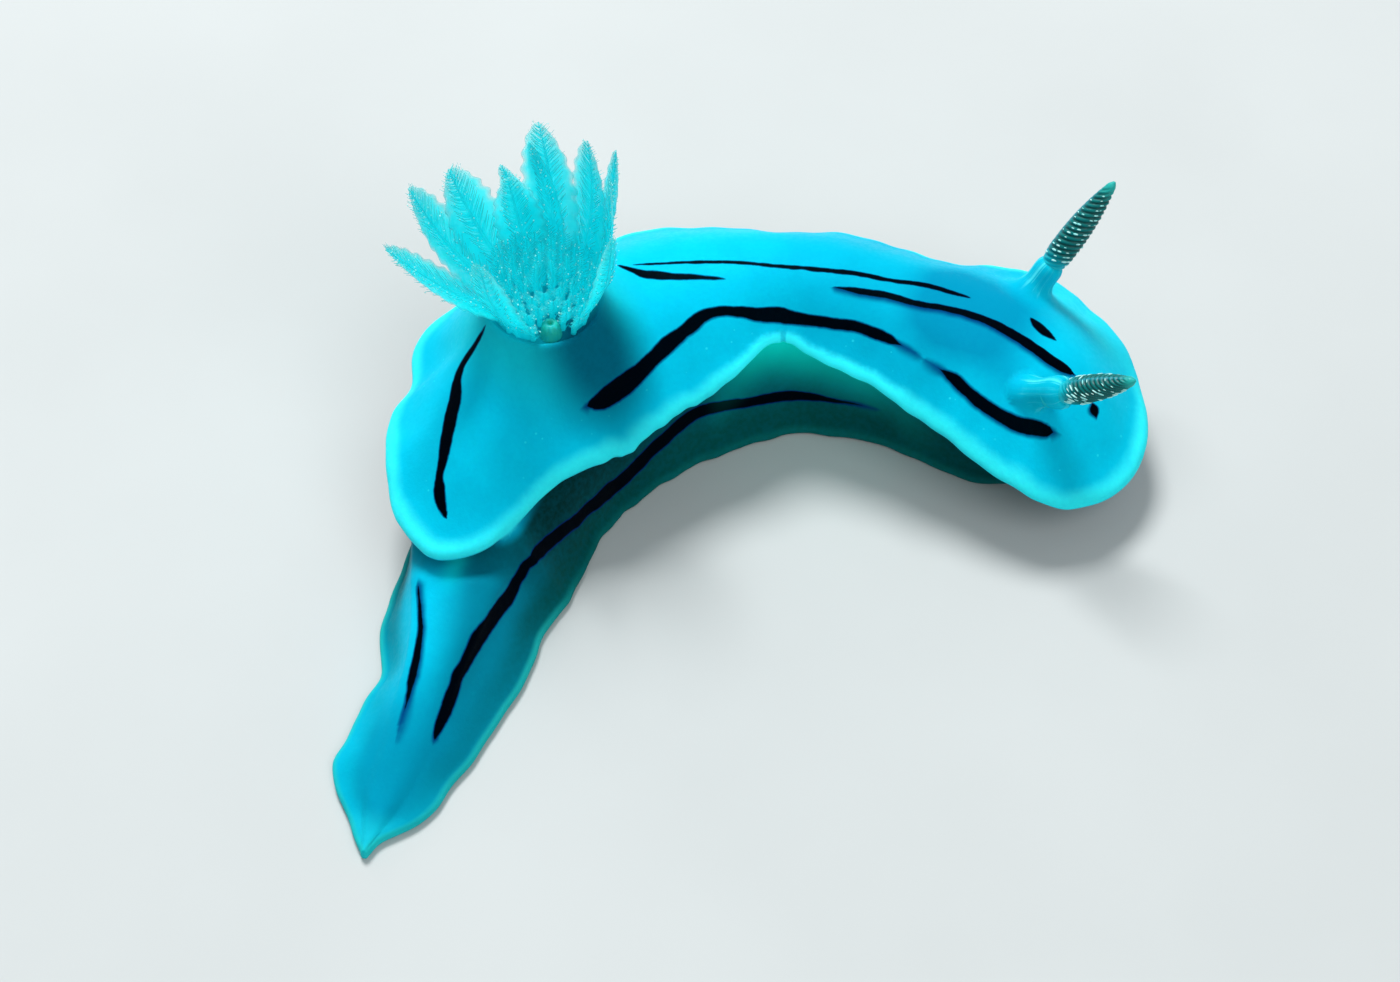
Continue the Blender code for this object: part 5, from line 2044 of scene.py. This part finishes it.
    def _below(self, graph: Graph, mottle: object) -> Socket:
        """Colour of flanks, tail, foot and the skirt's underside, with painted light and shade: the tail lit
        on its left and shaded on its right, and the flank, the wall by the foot and the wall under the skirt
        painted darker as shade.
        """
        along, foot, rim = (graph.mark(name) for name in ("along", "foot", "rim"))
        forward = graph.smooth(along, 10.0, 15.0)
        right = graph.smooth("right", -0.2, 1.6)
        turned = graph.times(right, graph.smooth(along, 0.5, 5, 0.3, 1))
        # painted light and shade: lit on the tail's left, shaded on its right
        tail = graph.mix(turned, self.tail_light, self.tail_shade)
        flat = graph.times(graph.smooth(along, 8.0, 4.0), graph.smooth(foot, 0.15, 1.2, 0.15, 0.85))
        flat = graph.times(flat, graph.smooth("right", -2.0, -0.9, 0.2, 1.0))
        # painted half shade on the flat middle of the tail
        tail = graph.mix(flat, tail, self.tail_half_shade)
        # the tip painted paler, partly its own paleness and partly painted light against the shade on the
        # tail's end
        tail = graph.mix(graph.smooth(along, 1.8, 0.2, 0, 0.85), tail, self.tail_tip)
        # forward of the tail the wall takes the flank colour, partly painted shade
        wall = graph.mix(forward, tail, self.flank)
        wall = graph.mix(graph.times(mottle, 0.2), wall, self.tail_shade)
        # painted shade low on the wall by the foot
        low = graph.times(graph.smooth(foot, 1.5, 0.6, 0, 0.85), graph.smooth(along, 5.0, 13.0, 0.25, 1.0))
        wall = graph.mix(low, wall, self.foot)
        edge = graph.times(graph.smooth(foot, 0.3, 0.04, 0, 0.6), graph.smooth(along, 9.0, 15.0, 1.0, 0.15))
        wall = graph.mix(edge, wall, self.foot_edge)
        # painted shade on the wall close under the skirt's margin
        under = graph.times(graph.smooth(rim, 6.0, 1.5), forward)
        skirt = graph.mix(graph.smooth(rim, 0.8, 0.2), self.underside, self.inner_band)
        # the flank under the raised fold is painted in the fold's glow colour: painted light through the
        # skirt
        below = graph.mix(self._fold(graph), graph.mix(under, wall, skirt), self.fold)
        return graph.mix(graph.times("snout", 0.8), below, self.tail_light)


@dataclass(frozen=True)
class GillFinish(Finish):
    """The gill's finish: a clear blue-green flesh, paler and more see-through towards the ends.

    Attributes:
        painted_glow_colour: Colour of a painted glow (emission) that stands in for light through the thin
            flesh, and glow, its strength.
        see_through: Opacity at the spines and at the ends.
    """

    name: str = "gill_flesh"
    spots: float = 1.6
    rough: Row = (0.22, 0.4)
    bumps: Row = (14.0, 0.01, 0.5, 0.0)
    gleam: float = 0.22
    depth: Row = (0.8, 0.8)
    root: Row = (14, 216, 226)
    tip: Row = (44, 214, 216)
    # colour of the gill's painted glow, emission in place of light through the flesh
    painted_glow_colour: Row = (4, 186, 198)
    glow: float = 0.33
    see_through: Row = (0.78, 0.34)

    def colour(self, graph: Graph, place: object, uneven: object, effects: Effects) -> Socket:
        """Paler towards the ends."""
        share = graph.math("ADD", graph.times("tip", 0.7), graph.times(uneven, 0.3))
        return graph.mix(share, self.root, self.tip)

    def thin(self, graph: Graph, shader: bpy.types.Node, uneven: object) -> None:
        """Clear ends, and a painted glow (emission) that stands in for light through the flesh."""
        graph.wire(shader.inputs["Alpha"], graph.smooth("tip", 0.3, 1.0, *self.see_through))
        light = graph.mix(graph.times(uneven, 0.5), self.painted_glow_colour, self.root)
        ends = graph.smooth("tip", 0.2, 1.0, 0.0, 0.6)
        # painted glow (emission), fading towards the clear ends
        graph.wire(shader.inputs["Emission Color"], graph.mix(ends, light, (0, 0, 0)))
        shader.inputs["Emission Strength"].default_value = self.glow


@dataclass(frozen=True)
class GrainFinish(Finish):
    """The white grains' finish: chalky, slightly uneven."""

    name: str = "white_grains"
    spots: float = 3.0
    rough: Row = (0.45, 0.6)
    bumps: Row = (30.0, 0.004, 0.4, 0.0)
    gleam: float = 0.5
    depth: Row = (0.1, 0.1)
    pale: Row = (206, 255, 250)
    dull: Row = (140, 236, 232)

    def colour(self, graph: Graph, place: object, uneven: object, effects: Effects) -> Socket:
        """Between pale and dull."""
        return graph.mix(uneven, self.pale, self.dull)


@dataclass(frozen=True)
class ClubFinish(Finish):
    """The rhinophores' finish: clear stalk, dark green club with paler lamella edges, clear tip."""

    name: str = "rhinophore_flesh"
    spots: float = 2.0
    rough: Row = (0.3, 0.42)
    bumps: Row = (12.0, 0.012, 0.6, 0.0)
    gleam: float = 0.2
    depth: Row = (0.2, 0.25)
    stalk: Row = (12, 198, 216)
    groove: Row = (0, 62, 62)
    crest: Row = (8, 130, 128)
    keel: Row = (12, 150, 166)
    tip: Row = (40, 192, 184)

    def colour(self, graph: Graph, place: object, uneven: object, effects: Effects) -> Socket:
        """Grooves and crests, the strip up the back, the stalk and the tip."""
        club = graph.mix("crest", self.groove, self.crest)
        club = graph.mix(graph.times(uneven, 0.3), club, self.groove)
        club = graph.mix(graph.times("keel", 0.8), club, self.keel)
        colour = graph.mix("club", self.stalk, club)
        return graph.mix(graph.times("tip", 0.8), colour, self.tip)


@dataclass(frozen=True)
class PapillaFinish(Finish):
    """The papilla's finish: greenish flesh, a little darker inside its mouth."""

    name: str = "papilla_flesh"
    spots: float = 3.0
    rough: Row = (0.32, 0.45)
    bumps: Row = (12.0, 0.012, 0.6, 0.0)
    gleam: float = 0.2
    depth: Row = (0.4, 0.3)
    outside: Row = (18, 192, 190)
    lip: Row = (36, 198, 178)
    mouth: Row = (10, 166, 144)

    def colour(self, graph: Graph, place: object, uneven: object, effects: Effects) -> Socket:
        """Between flesh and lip, darker in the mouth."""
        return graph.mix("mouth", graph.mix(uneven, self.outside, self.lip), self.mouth)


@dataclass(frozen=True)
class Studio:
    """A pale floor, soft lights and the camera.

    Attributes:
        floor_half: Half length of the floor's side, in metres.
        lights: Name, place in metres, side in metres and power in watts of each light.
        target: What the camera looks at, in millimetres.
        elevation: The camera's angle above the floor, in degrees.
        distance: From the camera to its target, in millimetres.
    """

    floor_half: float = 1.5
    floor_colour: Row = (203, 208, 208)
    lights: tuple[tuple[str, Row, float, float], ...] = (
        ("key_light", (-0.06, 0.17, 0.30), 0.14, 1.18),
        ("fill_light", (0.12, -0.20, 0.27), 0.28, 0.42),
        ("rim_light", (-0.20, 0.26, 0.14), 0.12, 0.08),
    )
    world_colour: Row = (226, 236, 240)
    world_strength: float = 0.36
    target: Row = (2.4, -6.6, 2.0)
    elevation: float = 52.0
    distance: float = 127.14
    lens: float = 85.0

    def build(self, effects: Effects) -> None:
        """Make floor, lights, world and camera.

        Args:
            effects: The shared effects.
        """
        self._floor(effects)
        scene = bpy.context.scene
        for name, place, side, power in self.lights:
            lamp = bpy.data.lights.new(name, "AREA")
            lamp.shape, lamp.size, lamp.energy = "DISK", side, power
            made = bpy.data.objects.new(name, lamp)
            made.location = place
            made.rotation_euler = (-Vector(place)).to_track_quat("-Z", "Y").to_euler()
            scene.collection.objects.link(made)
        world = bpy.data.worlds.new("studio")
        world.use_nodes = True
        back = world.node_tree.nodes["Background"]
        back.inputs["Color"].default_value = linear(self.world_colour)
        back.inputs["Strength"].default_value = self.world_strength
        scene.world = world
        scene.view_settings.view_transform = "Standard"
        lens = bpy.data.cameras.new("camera")
        lens.lens, lens.sensor_width, lens.clip_start, lens.clip_end = self.lens, 36.0, 0.005, 10.0
        camera = bpy.data.objects.new("camera", lens)
        tilt = math.radians(self.elevation)
        away = Vector((0, -math.cos(tilt), math.sin(tilt))) * self.distance
        camera.location = (Vector(self.target) + away) * MM
        camera.rotation_euler = (math.pi / 2 - tilt, 0, 0)
        scene.collection.objects.link(camera)
        scene.camera = camera

    def _floor(self, effects: Effects) -> None:
        """A large pale plane with a barely uneven finish."""
        half = self.floor_half
        mesh = bpy.data.meshes.new("floor")
        corners = [(-half, -half, 0), (half, -half, 0), (half, half, 0), (-half, half, 0)]
        mesh.from_pydata(corners, [], [(0, 1, 2, 3)])
        floor = new_object("floor", mesh)
        graph, shader = Graph.of_material("pale_floor")
        place = graph.millimetres()
        uneven = graph.group(effects.mottling, Place=place, Scale=0.05, Low=0.2, High=0.8).outputs[0]
        pale, dull = self.floor_colour, tuple(0.97 * part for part in self.floor_colour)
        graph.wire(shader.inputs["Base Color"], graph.mix(uneven, pale, dull))
        shader.inputs["Roughness"].default_value = 0.75
        mesh.materials.append(bpy.data.materials["pale_floor"])


def main() -> None:
    """Build every piece, dress it and set the scene round it."""
    logging.basicConfig(level=logging.INFO, format="%(message)s")
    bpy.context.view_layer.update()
    midline, collar = Midline(), Collar()
    left_sheath = Sheath(
        39.7, 3.02, way=(0.51, 0.25, 0.82), length=1.5, foot_radius=0.72, top_radius=0.45, spread=1.1
    )
    right_sheath = Sheath(
        41.35, -1.95, way=(0.586, -0.524, 0.618), length=2.25, foot_radius=0.6, top_radius=0.5, spread=0.3
    )
    right_club = Sheath(41.1, -2.40, way=(0.70, -0.345, 0.625), length=0.0, foot_radius=0.0)
    mantle = Mantle(midline, collar, (left_sheath, right_sheath))
    body = Body(midline, mantle)
    effects = Effects.build()
    grain_look = GrainFinish().build(effects)

    skin = Skin(midline, mantle, body, Head(midline), Markings())
    placed(skin.build(), SkinFinish().build(effects), skin.replaced)

    gill = Gill(midline, collar)
    *flesh, grains = gill.build()
    nodes = [f"gill_plume_{number}" for number in range(1, len(gill.plumes) + 1)]
    gill_look = GillFinish().build(effects)
    for piece in flesh:
        placed(piece, gill_look, nodes)
    placed(grains, grain_look, nodes)
    placed(Papilla(midline, collar).build(), PapillaFinish().build(effects), ["anal_papilla"])

    club_look = ClubFinish().build(effects)
    rhinophores = (
        Rhinophore(
            midline, mantle, "left", left_sheath, length=4.9, rise=0.75, plump=1.18, lamellae=17, slant=-1.1,
            keel=0.5, around=10, grain=(0.105, 0.042),
        ),
        Rhinophore(
            midline, mantle, "right", right_club, length=3.7, rise=1.95, plump=1.16, lamellae=15, slant=-3.0,
            keel=0.14, around=10, grain=(0.15, 0.040), sunk=0.45,
        ),
    )
    for rhinophore in rhinophores:
        node = f"rhinophore_{rhinophore.side}"
        for piece, look in zip(rhinophore.build(), (club_look, grain_look)):
            placed(piece, look, [node])

    Studio().build(effects)


if __name__ == "__main__":
    main()
